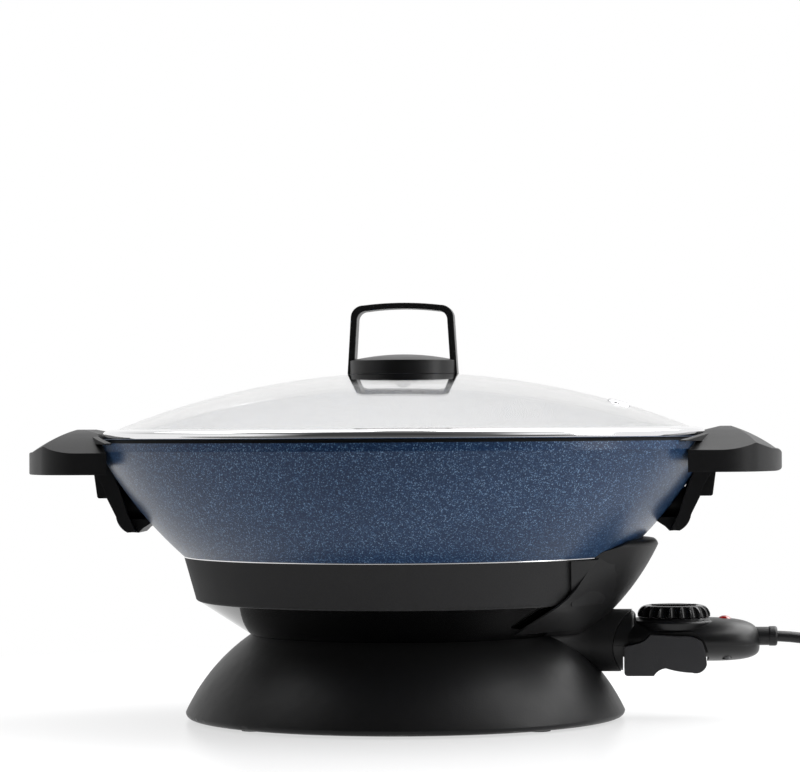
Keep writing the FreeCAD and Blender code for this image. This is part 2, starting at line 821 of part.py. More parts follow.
# The top edge falls from the crest toward the collar at both sides.
guard_roof = padded("guard_roof", "YZ", [
    (-guard_side_half, S.socket_height),
    (guard_side_half, S.socket_height),
    (guard_side_half, guard_side_top),
    (0, guard_roof_top, guard_roof_arc),
    (-guard_side_half, guard_side_top, guard_roof_arc),
], guard_centre_out, guard_reach + 5)
guard_shell = common("guard_shell", cut("guard_wall_solid", guard_outside, guard_inside), guard_roof)
guard_flange = common("guard_flange", swung("flange_ring", [
    (base_top_radius, shield_rim_height - 1),
    (shield_rim_radius + S.guard_flange_wall, shield_rim_height - 1),
    (collar_foot_radius + S.guard_flange_wall, S.collar_foot),
    (collar_top_radius + S.guard_flange_wall, collar_top - 1),
    (base_top_radius, collar_top - 1),
], 0, -S.guard_flange_angle, S.guard_flange_angle * 2), block(
    "flange_reach", (collar_foot_radius - S.guard_flange_inset, -S.pan_break_radius, shield_rim_height - 2),
    (S.pan_break_radius, S.pan_break_radius, collar_top)))
probe_guard = cut("probe_guard", fuse("guard_solid", guard_shell, guard_flange), body_outside,
                  pan_outside, shroud_space)

# ------------------------------------------------------------------------------------ base
base_outline = [
    (0, S.base_gap),
    (S.base_foot_radius - S.base_edge_inset, S.base_gap),
    (S.base_foot_radius, S.base_edge_height, 3.6),
    (base_top_radius, S.base_top, S.base_flank_arc),
    (0, S.base_top),
]
base_outside = turned("base_outside", base_outline)
base_inside = turned("base_inside", [
    (0, 0),
    (S.base_foot_radius - S.base_edge_inset - S.base_wall, 0),
    (S.base_foot_radius - S.base_wall - 1, S.base_edge_height, 12.0),
    (base_top_radius - S.base_wall, S.base_top - S.base_wall, S.base_flank_arc - S.base_wall),
    (0, S.base_top - S.base_wall),
])
base_ribs = around("base_rib", lambda name, angle: place(
    block(name, (0, -S.base_rib_wall / 2, S.base_edge_height),
          (S.base_foot_radius - S.base_rib_inner_radius, S.base_rib_wall / 2, S.base_top)),
    turned_spot(S.base_rib_inner_radius, angle, S.base_edge_height),
    Rotation(Vector(0, 0, 1), angle)), int(S.base_rib_count.value), 15)
foot_count = int(S.foot_count.value)
foot_bosses = around("foot_boss", lambda name, angle: rod(
    name, S.foot_pad_radius + 2, turned_spot(S.foot_circle_radius, angle, S.base_gap), "Z",
    S.base_top - S.base_gap), foot_count, 45)
foot_pads = around("foot_pad", lambda name, angle: rod(
    name, S.foot_pad_radius, turned_spot(S.foot_circle_radius, angle, 0), "Z", S.foot_pad_height),
    foot_count, 45)
base_feet = group("base_feet", *foot_pads)
base_stiffening = common("base_stiffening", base_outside,
                         fuse("ribs_and_bosses", *base_ribs, *foot_bosses))
base_shell = cut("base_shell",
                 fuse("base_solid", cut("base_skin", base_outside, base_inside), base_stiffening),
                 cut("base_notch", shroud_space, base_top_space), boss_opening, *foot_pads, *fixing_holes)


def fixing_screw(name, angle):
    shank = rod(f"{name}_shank", S.fixing_screw_radius,
                turned_spot(S.fixing_circle_radius, angle, screw_seat), "Z", screw_length)
    head = rod(f"{name}_head", S.fixing_head_radius,
               turned_spot(S.fixing_circle_radius, angle, screw_seat - S.fixing_head_height), "Z",
               S.fixing_head_height)
    return fuse(name, shank, head)


base_screws = group("base_screws", *around("base_screw", fixing_screw, fixing_count, 60))

# ------------------------------------------------------------------------------------ side handles
handle_underside = S.pan_rim_top - S.handle_drop
handle_peak = S.pan_rim_top + S.handle_rise
handle_crown_top = handle_peak + S.handle_crown_rise
handle_crease = S.pan_rim_top - S.handle_crease_drop
handle_tip_radius = S.pan_rim_radius + S.handle_reach
handle_peak_radius = S.pan_rim_radius + S.handle_peak_out
rim_space = rod("rim_space", S.pan_rim_radius + S.handle_gap, (0, 0, S.pan_break_height), "Z",
                handle_crown_top - S.pan_break_height + 10)
# The plan is a wide outer arc through the tip, met without a corner by a tight arc at each end.
outer_centre = handle_tip_radius - S.handle_outer_arc
corner_side = S.handle_half_span - S.handle_end_corner
centre_gap = S.handle_outer_arc - S.handle_end_corner
corner_centre = outer_centre + root_of(centre_gap * centre_gap - corner_side * corner_side)
stretch = S.handle_outer_arc / centre_gap
meeting_out = outer_centre + (corner_centre - outer_centre) * stretch
meeting_side = corner_side * stretch
grip_plan = padded("grip_plan", "XY", [
    (S.pan_break_radius, -S.handle_half_span),
    (corner_centre, -S.handle_half_span),
    (meeting_out, -meeting_side, S.handle_end_corner),
    (meeting_out, meeting_side, S.handle_outer_arc),
    (corner_centre, S.handle_half_span, S.handle_end_corner),
    (S.pan_break_radius, S.handle_half_span),
], handle_underside, handle_crown_top + 2)
grip_section = swung("grip_section", [
    (S.pan_break_radius, handle_underside),
    (handle_tip_radius - 3, handle_underside),
    (handle_tip_radius, handle_underside + 3, 3.0),
    (handle_tip_radius, handle_crease - 3),
    (handle_tip_radius - 4, handle_crease + 1.5, 4.0),
    (handle_peak_radius + S.handle_peak_width, handle_peak, S.handle_top_arc),
    (handle_peak_radius, handle_peak),
    (S.pan_rim_radius, handle_peak - S.handle_inner_drop),
    (S.pan_break_radius, handle_peak - S.handle_inner_drop),
], 0, -40, 80)
grip_crown = padded("grip_crown", "YZ", [
    (-S.handle_half_span - 2, handle_underside - 1),
    (S.handle_half_span + 2, handle_underside - 1),
    (S.handle_half_span + 2, handle_crease),
    (0, handle_crown_top, S.handle_crown_arc),
    (-S.handle_half_span - 2, handle_crease, S.handle_crown_arc),
], S.pan_break_radius, handle_tip_radius + 2)


def by_wall(out_share, up_share):
    """A spot near the pan's wall, as shares of the way out and up from its break to its rim."""
    return S.pan_break_radius + reach_out * out_share, S.pan_break_height + reach_up * up_share


# Seen from the front the leg is a bowed strip that stands off the pan, hollow toward it, with a pad
# at its foot that rests on the pan.
leg_foot = by_wall(0.629, 0.201)
leg_knee = by_wall(0.766, 0.343)
leg_waist = by_wall(0.876, 0.507)
leg_root = (S.pan_rim_radius + 1.7, handle_underside)
leg_outer = [leg_foot, (*leg_knee, S.handle_foot_arc), leg_waist, (*leg_root, -S.handle_root_arc)]
leg_strip = padded("leg_strip", "XZ", [
    by_wall(0.524, 0.205),
    *leg_outer,
    (leg_root[0], handle_underside + 11),
    by_wall(0.905, 0.885),
    (*by_wall(0.629, 0.370), 190.0),
], -S.handle_leg_half_width, S.handle_leg_half_width)
leg_inner_half = S.handle_leg_half_width - S.handle_leg_wall
leg_hollow = padded("leg_hollow", "XZ", [
    (S.pan_break_radius, leg_foot[1] + S.handle_leg_wall),
    (leg_foot[0], leg_foot[1] + S.handle_leg_wall),
    (leg_knee[0] - S.handle_leg_wall, leg_knee[1], S.handle_foot_arc),
    (leg_waist[0] - S.handle_leg_wall, leg_waist[1]),
    (leg_root[0] - S.handle_leg_wall, handle_underside, -S.handle_root_arc),
    (S.pan_break_radius, handle_underside),
], -leg_inner_half, leg_inner_half)
leg_filled = padded("leg_filled", "XZ", [
    (S.pan_break_radius, leg_foot[1]),
    *leg_outer,
    (S.pan_break_radius, handle_underside),
], -leg_inner_half, leg_inner_half)
screw_boss = common("screw_boss", leg_filled,
                    rod("screw_boss_rod", S.lug_radius + 2,
                        (S.pan_break_radius, 0, handle_screw_height), "X", 80))
foot_pad_side = S.handle_leg_half_width - 7
leg_pad = padded("leg_pad", "XZ", [
    by_wall(0.350, 0.290),
    by_wall(0.462, 0.235),
    by_wall(0.512, 0.197),
    by_wall(0.640, 0.203),
    by_wall(0.665, 0.318),
    by_wall(0.350, 0.318),
], -foot_pad_side, foot_pad_side)
grip_block = padded("grip_block", "XZ", [
    by_wall(0.876, 0.503),
    by_wall(1.004, 0.503),
    (*by_wall(1.032, 0.520), 1.6),
    (S.pan_rim_radius + 3.8, handle_underside + 1),
    (S.pan_rim_radius - 4.5, handle_underside + 1),
], -S.handle_block_half_width, S.handle_block_half_width)
head_seat = lug_face + 3
rim_above = rod("rim_above", S.pan_rim_radius + S.handle_gap,
                (0, 0, pan_band_foot - S.handle_gap), "Z", 40)
leg = cut("leg", fuse("leg_solids", cut("leg_walls", leg_strip, leg_hollow), screw_boss, leg_pad),
          pan_outside, rim_above)
grip = cut("grip", common("grip_solid", grip_plan, grip_section, grip_crown), rim_space)
# A thin lip carries on along the rim beyond the ends of the grip.
lip_inner = S.pan_rim_radius + S.handle_gap
lip_half = S.pan_rim_radius * math.sin(math.radians(S.handle_lip_angle.value))
lip_top = handle_peak - S.handle_inner_drop
lip_foot = S.pan_rim_top - S.pan_rim_flare
rim_lip = common("rim_lip", swung("lip_ring", [
    (lip_inner, lip_foot),
    (lip_inner + S.handle_lip_wall, lip_foot),
    (lip_inner + S.handle_lip_wall, handle_peak),
    (lip_inner, handle_peak),
], 0, -S.handle_lip_angle, S.handle_lip_angle * 2), padded("lip_crown", "YZ", [
    (-lip_half, handle_underside),
    (lip_half, handle_underside),
    (lip_half, S.pan_rim_top),
    (0, lip_top, dome_arc(lip_half, lip_top - S.pan_rim_top)),
    (-lip_half, S.pan_rim_top, dome_arc(lip_half, lip_top - S.pan_rim_top)),
], S.pan_break_radius, handle_tip_radius))
right_handle = cut(
    "right_handle",
    fuse("handle_solid", grip, leg, grip_block, rim_lip),
    rod("lug_space", S.lug_radius + 0.1, (S.pan_break_radius, 0, handle_screw_height), "X",
        lug_face - S.pan_break_radius),
    rod("handle_screw_hole", S.handle_screw_radius, (lug_face - 1, 0, handle_screw_height), "X", 6),
    rod("handle_head_recess", S.handle_screw_head + 0.4, (head_seat, 0, handle_screw_height), "X", 30))
left_handle = mirrored("left_handle", right_handle, "X")
right_screw = fuse(
    "right_handle_screw",
    rod("handle_shank", S.handle_screw_radius, (handle_screw_tip, 0, handle_screw_height), "X",
        head_seat - handle_screw_tip),
    rod("handle_head", S.handle_screw_head, (head_seat, 0, handle_screw_height), "X", 2.4))
handle_screws = group("handle_screws", right_screw, mirrored("left_handle_screw", right_screw, "X"))

# ------------------------------------------------------------------------------------ lid
lid_glass_radius = S.pan_rim_radius - S.lid_glass_inset
lid_rim_radius = S.pan_rim_radius - S.lid_rim_inset
lid_rim_foot = S.pan_rim_top + S.lid_rim_gap
lid_rim_top = lid_rim_foot + S.lid_rim_height
lid_apex = lid_rim_top - S.lid_glass_seat + S.lid_rise
lid_glass_arc = dome_arc(lid_glass_radius, S.lid_rise)
glass_centre = lid_apex - lid_glass_arc
vent_out = lid_glass_radius - S.vent_inset
glass_ball = ball("glass_ball", lid_glass_arc, (0, 0, glass_centre))
glass_hollow = ball("glass_hollow", lid_glass_arc - S.lid_glass_wall, (0, 0, glass_centre))
glass_edge = rod("glass_edge", lid_glass_radius, (0, 0, S.pan_floor_height), "Z",
                 lid_apex + 5 - S.pan_floor_height)
vent_tilt = math.degrees(math.asin(vent_out.value / lid_glass_arc.value))


def on_glass(thing):
    """Stand a piece turned about Z on the glass where the vent is, square to the surface."""
    lean = Rotation(Vector(0, 0, 1), S.vent_turn.value).multiply(Rotation(Vector(0, 1, 0), vent_tilt))
    spot = Vector(0, 0, glass_centre.value) + lean.multVec(Vector(0, 0, lid_glass_arc.value))
    thing.Placement = Placement(spot, lean)
    return thing


vent_drill = on_glass(turned("vent_drill", [
    (0, -S.lid_glass_wall * 2), (S.vent_sleeve_radius, -S.lid_glass_wall * 2),
    (S.vent_sleeve_radius, S.lid_glass_wall), (0, S.lid_glass_wall)]))
grip_drill = rod("grip_drill", S.grip_screw_radius, (0, 0, lid_apex - 20), "Z", 30)
lid_glass = cut("lid_glass", common("glass_cap", glass_ball, glass_edge), glass_hollow, vent_drill,
                grip_drill)
vent_solid = on_glass(turned("vent_solid", [
    (S.vent_bore_radius, -S.lid_glass_wall - S.vent_flange_wall),
    (S.vent_flange_radius - 1, -S.lid_glass_wall - S.vent_flange_wall),
    (S.vent_flange_radius - 1, -S.lid_glass_wall),
    (S.vent_sleeve_radius, -S.lid_glass_wall),
    (S.vent_sleeve_radius, 0),
    (S.vent_flange_radius, 0),
    (S.vent_flange_radius - 1.5, S.vent_flange_wall, 2.4),
    (S.vent_bore_radius, S.vent_flange_wall / 2),
]))
lid_vent = cut("lid_vent", vent_solid, lid_glass)
step_outer = S.pan_rim_radius - S.pan_rim_wall - S.lid_step_gap
lid_rim = cut("lid_rim", turned("lid_rim_solid", [
    (step_outer - S.lid_step_wall, pan_ledge_height),
    (step_outer, pan_ledge_height),
    (step_outer, lid_rim_foot),
    (lid_rim_radius, lid_rim_foot),
    (lid_rim_radius, lid_rim_top - 2.4),
    (lid_rim_radius - 2.4, lid_rim_top - 0.3, 2.6),
    (lid_rim_radius - S.lid_rim_lip, lid_rim_top + 0.5),
    (lid_rim_radius - S.lid_rim_lip, lid_rim_foot - 1),
]), common("glass_seat", ball("glass_seat_ball", lid_glass_arc, (0, 0, glass_centre)),
           rod("glass_seat_edge", lid_glass_radius, (0, 0, S.pan_rim_top), "Z", 60)))

# ------------------------------------------------------------------------------------ lid handle
loop_foot = lid_apex - 2
grip_top = lid_apex + S.grip_height
grip_shoulder = grip_top - S.grip_arch
grip_base_top = lid_apex + S.grip_base_rise
grip_base_edge = lid_apex + S.grip_base_edge
grip_arch = dome_arc(S.grip_top_half_width - S.grip_corner, S.grip_arch)
loop_outer = padded("loop_outer", "XZ", [
    (-S.grip_half_width, loop_foot),
    (S.grip_half_width, loop_foot),
    (S.grip_top_half_width, grip_shoulder - S.grip_corner),
    (S.grip_top_half_width - S.grip_corner, grip_shoulder, S.grip_corner),
    (0, grip_top, grip_arch),
    (S.grip_corner - S.grip_top_half_width, grip_shoulder, grip_arch),
    (-S.grip_top_half_width, grip_shoulder - S.grip_corner, S.grip_corner),
], -S.grip_half_depth, S.grip_half_depth)
inner_corner = S.grip_corner - S.grip_wall + 1.5
loop_inner_shoulder = grip_shoulder - S.grip_wall
loop_inner_half = S.grip_top_half_width - S.grip_leg_wall
inner_arch = dome_arc(loop_inner_half - inner_corner, S.grip_arch)
loop_inner = padded("loop_inner", "XZ", [
    (S.grip_leg_wall - S.grip_half_width, loop_foot - 1),
    (S.grip_half_width - S.grip_leg_wall, loop_foot - 1),
    (loop_inner_half, loop_inner_shoulder - inner_corner),
    (loop_inner_half - inner_corner, loop_inner_shoulder, inner_corner),
    (0, grip_top - S.grip_wall, inner_arch),
    (inner_corner - loop_inner_half, loop_inner_shoulder, inner_arch),
    (-loop_inner_half, loop_inner_shoulder - inner_corner, inner_corner),
], -S.grip_half_depth - 1, S.grip_half_depth + 1)
lid_handle_loop = cut("lid_handle_loop", loop_outer, loop_inner, glass_ball)
base_disc = turned("base_disc", [
    (0, loop_foot),
    (S.grip_half_width, loop_foot),
    (S.grip_half_width, grip_base_edge),
    (0, grip_base_top, dome_arc(S.grip_half_width, grip_base_top - grip_base_edge)),
])
seal_top = lid_apex + 1.5
seal_inner = S.grip_seal_radius - S.grip_seal_wall
seal_space = turned("seal_space", [
    (seal_inner, loop_foot), (S.grip_seal_radius, loop_foot),
    (S.grip_seal_radius, seal_top), (seal_inner, seal_top)])
screw_top = lid_apex + S.grip_screw_length - S.lid_glass_wall
loop_slot = cut("loop_slot", block("loop_slot_block",
                                  (-S.grip_half_width - 2, -S.grip_half_depth, loop_foot - 2),
                                  (S.grip_half_width + 2, S.grip_half_depth, grip_base_top - 1)),
                loop_inner)
lid_handle_base = cut("lid_handle_base", base_disc, loop_slot, glass_ball,
                      seal_space,
                      rod("grip_screw_hole", S.grip_screw_radius, (0, 0, loop_foot), "Z",
                          screw_top - loop_foot))
lid_handle_seal = cut("lid_handle_seal", turned("seal_solid", [
    (seal_inner, loop_foot), (S.grip_seal_radius, loop_foot),
    (S.grip_seal_radius, seal_top), (seal_inner, seal_top)]), glass_ball)
under_glass = lid_apex - S.lid_glass_wall
washer_wall = 1.5
lid_handle_washer = cut("lid_handle_washer", turned("washer_solid", [
    (S.grip_screw_radius, under_glass - washer_wall),
    (S.grip_screw_head + 3, under_glass - washer_wall),
    (S.grip_screw_head + 3, under_glass),
    (S.grip_screw_radius, under_glass)]), cut("glass_above", glass_ball, glass_hollow))
lid_handle_screw = fuse("lid_handle_screw",
                        rod("grip_screw_shank", S.grip_screw_radius,
                            (0, 0, under_glass - washer_wall), "Z",
                            screw_top - under_glass + washer_wall),
                        turned("grip_screw_dome", [
                            (0, under_glass - washer_wall - S.grip_screw_dome),
                            (S.grip_screw_head, under_glass - washer_wall,
                             dome_arc(S.grip_screw_head, S.grip_screw_dome)),
                            (0, under_glass - washer_wall)]))

# ------------------------------------------------------------------------------------ probe shells
# The body is egg-shaped: it keeps its size to the tail, then rounds off quickly in height and more
# gently in width.
probe_half_height = (S.probe_top - S.probe_bottom) / 2
probe_lean = (S.probe_top + S.probe_bottom) / 2 - S.probe_parting
TAIL_SHARES = (0.0, 0.2, 0.4, 0.58, 0.72, 0.82, 0.89, 0.945, 0.98, 0.995)


def shrink(share, power):
    """How much of its size the body keeps at a share of the tail's length."""
    return (1 - share ** power.value) ** (1 / power.value)


probe_sections = [
    ellipse(f"front_section_{index}", S.probe_nose_back + behind, S.probe_half_width - narrower,
            probe_half_height, S.probe_parting + probe_lean)
    for index, (behind, narrower) in enumerate(((-6.0, 6.5), (4.0, 1.8), (18.0, 0.2)))]
for share in TAIL_SHARES:
    tall = shrink(share, S.probe_height_power)
    wide = shrink(share, S.probe_width_power)
    probe_sections.append(ellipse(
        f"tail_section_{len(probe_sections)}",
        S.probe_tail_out + (S.probe_back - S.probe_tail_out) * share,
        S.probe_half_width * wide, probe_half_height * tall, S.probe_parting + probe_lean * tall))
rounded_body = doc.addObject("Part::Loft", "rounded_body")
rounded_body.Sections = probe_sections
rounded_body.Solid = True
pedestal = place(turned("pedestal", [
    (0, S.pedestal_foot),
    (S.pedestal_radius - 2.2, S.pedestal_foot),
    (S.pedestal_radius, S.pedestal_foot + 4),
    (S.pedestal_radius - 0.8, S.pedestal_foot + 5.4, 1.4),
    (S.dial_radius - 0.7, S.dial_foot - 0.5, -9.0),
    (0, S.dial_foot - 0.5),
]), (S.dial_out, 0, 0))
shoulder = common(
    "shoulder",
    place(turned("shoulder_solid", [
        (0, 0), (S.probe_shoulder_radius, 0), (S.probe_shoulder_radius, 25),
        (S.probe_shoulder_radius - 3, 28, 3.4), (0, 28)]),
        (S.probe_nose_back - 28, 0, S.socket_height), AXIS_TURNS["X"]),
    rod("shoulder_reach", S.mouth_radius - S.probe_shoulder_gap,
        (S.mouth_centre_out, -mouth_half_length, S.mouth_centre_height), "Y",
        mouth_half_length * 2))
nose = rod("nose", S.probe_nose_radius, (S.probe_nose_end, 0, S.socket_height), "X",
           S.probe_nose_back - S.probe_nose_end)
cavity_half_width = S.probe_half_width / 2 - 0.5
cavity = fuse(
    "cavity",
    rod("nose_cavity", S.probe_nose_radius - S.probe_wall,
        (S.probe_nose_end + S.contact_length, 0, S.socket_height), "X",
        S.probe_nose_back - S.probe_nose_end - S.contact_length + 4),
    block("body_cavity",
          (S.probe_nose_back, -cavity_half_width, S.trigger_floor + 6),
          (S.lens_out - 3, cavity_half_width, S.probe_top - S.probe_wall - 1)))


# The trigger straddles the lower half, which is waisted to clear it over its whole travel.
trigger_outline = [
    (S.trigger_front, S.trigger_nose_foot + 2),
    (S.trigger_front + 2, S.trigger_nose_foot, 2.2),
    (S.trigger_pin_out - 3.5, S.trigger_nose_foot),
    (S.trigger_pin_out + 4, S.trigger_scoop, -9.0),
    (S.trigger_back - 9, S.trigger_nose_foot + 2, 60.0),
    (S.trigger_back, S.trigger_nose_foot + 7, 7.0),
    (S.trigger_back - 3, S.trigger_cheek_top - 4.3, 40.0),
    (S.trigger_back - 15, S.trigger_cheek_top - 1, 18.0),
    (S.trigger_pin_out - 5.6, S.trigger_cheek_top),
    (S.trigger_front + 7, S.trigger_cheek_top - 5.8, -14.0),
    (S.trigger_front, S.trigger_cheek_top - 7.5),
]
trigger_solid = padded("trigger_solid", "XZ", trigger_outline, -S.trigger_half_width,
                       S.trigger_half_width)
trigger_channel = block("trigger_channel",
                        (S.trigger_front - 5, -S.trigger_inner_half_width, S.trigger_floor),
                        (S.trigger_back + 5, S.trigger_inner_half_width, S.probe_top))
pin_end = S.trigger_half_width - 1
pin_hole = rod("pin_hole", S.trigger_pin_radius + S.running_gap,
               (S.trigger_pin_out, -pin_end, S.trigger_pin_height), "Y", pin_end * 2)
probe_trigger = cut("probe_trigger", trigger_solid, trigger_channel, pin_hole)
pin_seat = rod("pin_seat", S.trigger_pin_radius, (S.trigger_pin_out, -pin_end, S.trigger_pin_height),
               "Y", pin_end * 2)
trigger_pin = rod("trigger_pin", S.trigger_pin_radius,
                  (S.trigger_pin_out, -pin_end + 0.3, S.trigger_pin_height), "Y", pin_end * 2 - 0.6)

grown_outline = doc.addObject("Part::Offset2D", "grown_trigger_outline")
grown_outline.Source = trigger_solid.Base
bind(grown_outline, "Value", S.trigger_gap)


def trigger_space(step, share):
    """The grown trigger outline, swung part of its travel about the pin."""
    solid = doc.addObject("Part::Extrusion", f"trigger_space_{step}")
    solid.Base = grown_outline
    solid.DirMode = "Custom"
    solid.Dir = Vector(0, 1, 0)
    solid.Solid = True
    bind(solid, "LengthFwd", S.trigger_gap)
    bind(solid, "LengthRev", S.trigger_half_width * 2 + S.trigger_gap)
    pivot = Vector(S.trigger_pin_out.value, 0, S.trigger_pin_height.value)
    swing = Rotation(Vector(0, 1, 0), -S.trigger_travel.value * share)
    solid.Placement = Placement(pivot - swing.multVec(pivot), swing)
    return solid


trigger_swing = fuse("trigger_swing", *[trigger_space(step, step / 3) for step in range(4)])
core = block("core", (S.trigger_front - 8, -S.trigger_inner_half_width + S.trigger_gap / 2,
                      S.trigger_floor + 3.6),
             (S.trigger_back + 5, S.trigger_inner_half_width - S.trigger_gap / 2, S.probe_top))
trigger_recess = cut("trigger_recess", trigger_swing, core)
contact_spots = [("right", 1), ("left", -1)]
contact_holes = [rod(f"{name}_contact_hole", S.contact_radius,
                     (S.probe_nose_end, side * half_spacing, S.socket_height), "X", S.contact_length)
                 for name, side in contact_spots]
stem_back = S.probe_nose_end + S.contact_length + 2
stem_seat = rod("stem_seat", S.stem_radius, (S.probe_nose_end - 1, 0, S.socket_height), "X",
                stem_back - S.probe_nose_end + 1)
shaft_hole = rod("shaft_hole", S.dial_shaft_radius + S.running_gap,
                 (S.dial_out, 0, S.probe_top - 10), "Z", 20)
lens_hole = rod("lens_hole", S.lens_radius, (S.lens_out, 0, S.probe_top - 8), "Z", 20)
probe_screw_out = S.lens_out + 1
probe_screw_holes = [rod(f"{name}_probe_screw_hole", S.probe_screw_radius,
                         (probe_screw_out, side * S.probe_screw_side, S.probe_bottom + 4), "Z", 18)
                     for name, side in contact_spots]
head_recesses = [rod(f"{name}_head_recess", S.probe_screw_recess,
                     (probe_screw_out, side * S.probe_screw_side, S.probe_bottom - 5), "Z", 9)
                 for name, side in contact_spots]
sleeve_seat = rod("sleeve_seat", S.sleeve_radius, (S.probe_back - 8, 0, S.cord_exit_height), "X", 20)
probe_solid = fuse("probe_solid", rounded_body, nose, shoulder, pedestal)
probe_whole = cut("probe_whole", probe_solid, cavity, trigger_recess,
                  pin_seat, *contact_holes, stem_seat, shaft_hole, lens_hole, *probe_screw_holes,
                  *head_recesses, sleeve_seat)
above = block("above_parting", (S.stem_end, -40, S.probe_parting), (S.probe_back + 20, 40, S.dial_top))
below = block("below_parting", (S.stem_end, -40, 0), (S.probe_back + 20, 40, S.probe_parting))
probe_upper_shell = common("probe_upper_shell", probe_whole, above)
probe_lower_shell = common("probe_lower_shell", probe_whole, below)

# ------------------------------------------------------------------------------------ probe insides
probe_stem = rod("probe_stem", S.stem_radius, (S.stem_end, 0, S.socket_height), "X",
                 stem_back - S.stem_end)
contact_tubes = []
for (name, side), hole in zip(contact_spots, contact_holes):
    sleeve = rod(f"{name}_contact_sleeve", S.contact_radius,
                 (S.probe_nose_end, side * half_spacing, S.socket_height), "X", S.contact_length)
    bore = rod(f"{name}_contact_bore", S.terminal_radius + 0.1,
               (S.probe_nose_end, side * half_spacing, S.socket_height), "X", S.contact_length - 2)
    contact_tubes.append(cut(f"{name}_contact", sleeve, bore))
probe_contacts = group("probe_contacts", *contact_tubes)
thermostat_top = S.probe_top - S.probe_wall - 6
thermostat_foot = S.trigger_pin_height + S.trigger_pin_radius + 1
thermostat = cut("thermostat",
                 block("thermostat_block", (S.dial_out - 11, -9, thermostat_foot),
                       (S.dial_out + 13, 9, thermostat_top)),
                 rod("thermostat_bore", S.dial_shaft_radius + S.running_gap,
                     (S.dial_out, 0, thermostat_top - 5), "Z", 6))
dial_shaft = rod("dial_shaft", S.dial_shaft_radius, (S.dial_out, 0, thermostat_top - 4.5), "Z",
                 S.dial_foot + 2 - thermostat_top + 4.5)
dial_disc = place(turned("dial_disc", [
    (0, S.dial_foot),
    (S.dial_radius, S.dial_foot),
    (S.dial_radius, S.dial_foot + 1.8),
    (S.dial_radius - S.dial_shoulder, S.dial_top, S.dial_shoulder + 1.5),
    (S.dial_radius - S.dial_shoulder - 1.5, S.dial_top),
    (S.dial_radius - S.dial_shoulder - 2.5, S.dial_top - 0.8),
    (0, S.dial_top - 0.8),
]), (S.dial_out, 0, 0))


def flute(name, angle):
    x, y, z = turned_spot(S.dial_radius + 1.9, angle, S.dial_foot - 1)
    lean = Rotation(Vector(0, 0, 1), angle).multiply(Rotation(Vector(0, 1, 0), -S.dial_flute_lean.value))
    return place(rod(name, S.dial_flute_radius, (0, 0, 0), "Z", S.dial_top - S.dial_foot + 4),
                 (S.dial_out + x, y, z), lean)


flutes = fuse("flutes", *around("flute", flute, int(S.dial_flutes.value)))
pointer_bar = block("pointer_bar", (S.dial_out - S.dial_radius + 9, -2.2, S.dial_top - 1),
                    (S.dial_out + S.dial_radius - 9, 2.2, S.dial_top + 0.6))
dial_shaft_hole = rod("dial_shaft_hole", S.dial_shaft_radius, (S.dial_out, 0, S.dial_foot - 1), "Z", 3)
temperature_dial = cut("temperature_dial", fuse("dial_solid", dial_disc, pointer_bar), flutes,
                       dial_shaft_hole)
lens_foot = S.probe_top - 7
indicator_lens = place(turned("indicator_lens", [
    (0, lens_foot),
    (S.lens_radius, lens_foot),
    (S.lens_radius, S.probe_top - 0.8),
    (0, S.probe_top - 0.8 + S.lens_proud, dome_arc(S.lens_radius, S.lens_proud)),
]), (S.lens_out, 0, 0))
leaf_top = S.trigger_floor + 3.6
spring_half_width = S.contact_radius
trigger_spring = padded("trigger_spring", "XZ", [
    (S.trigger_back - 10, leaf_top),
    (S.trigger_back - 16, leaf_top),
    (S.trigger_pin_out + 7, leaf_top - 2.1),
    (S.trigger_pin_out + 7, leaf_top - 2.5),
    (S.trigger_back - 15.8, leaf_top - 0.6),
    (S.trigger_back - 10, leaf_top - 0.6),
], -spring_half_width, spring_half_width)
probe_screw_solids = [fuse(
    f"{name}_probe_screw",
    rod(f"{name}_probe_shank", S.probe_screw_radius,
        (probe_screw_out, side * S.probe_screw_side, S.probe_bottom + 4),
        "Z", 16),
    rod(f"{name}_probe_head", S.probe_screw_recess - 0.3,
        (probe_screw_out, side * S.probe_screw_side, S.probe_bottom + 2),
        "Z", 2)) for name, side in contact_spots]
probe_screws = group("probe_screws", *probe_screw_solids)

# ------------------------------------------------------------------------------------ cord
sleeve_start = S.probe_back - 8
cord_sleeve = cut(
    "cord_sleeve",
    place(turned("sleeve_solid", [
        (0, 0),
        (S.sleeve_radius, 0),
        (S.sleeve_radius, 13.6),
        (S.sleeve_ring_radius, 14.4, 1.2),
        (S.sleeve_ring_radius, S.sleeve_end - sleeve_start - 1.6),
        (S.sleeve_ring_radius - 1.6, S.sleeve_end - sleeve_start, 1.6),
        (0, S.sleeve_end - sleeve_start),
    ]), (sleeve_start, 0, S.cord_exit_height), AXIS_TURNS["X"]),
    rod("cord_bore", S.cord_radius, (S.sleeve_end - 6, 0, S.cord_exit_height), "X", 7))
coil_front = S.coil_side - S.coil_turn_radius
cord_route = [
    (S.sleeve_end - 6, 0, S.cord_exit_height),
    (S.sleeve_end + 16, 0, S.cord_exit_height),
    (S.sleeve_end + 46, 1.5, S.cord_exit_height - 10),
    (S.sleeve_end + 72, 4, S.cord_exit_height - 28.5),
    (S.sleeve_end + 97, 7.5, S.cord_lay_height + 4.9),
    (S.coil_out - 42.5, coil_front - 0.6, S.cord_lay_height + 0.5),
    (S.coil_out - 14, coil_front, S.cord_lay_height),
]
cord_edges, cord_radii = rounded_path(cord_route)
cord_tube = tube_along("cord_tube", cord_edges, S.cord_radius)
coil_place = (S.coil_out, S.coil_side, 0)
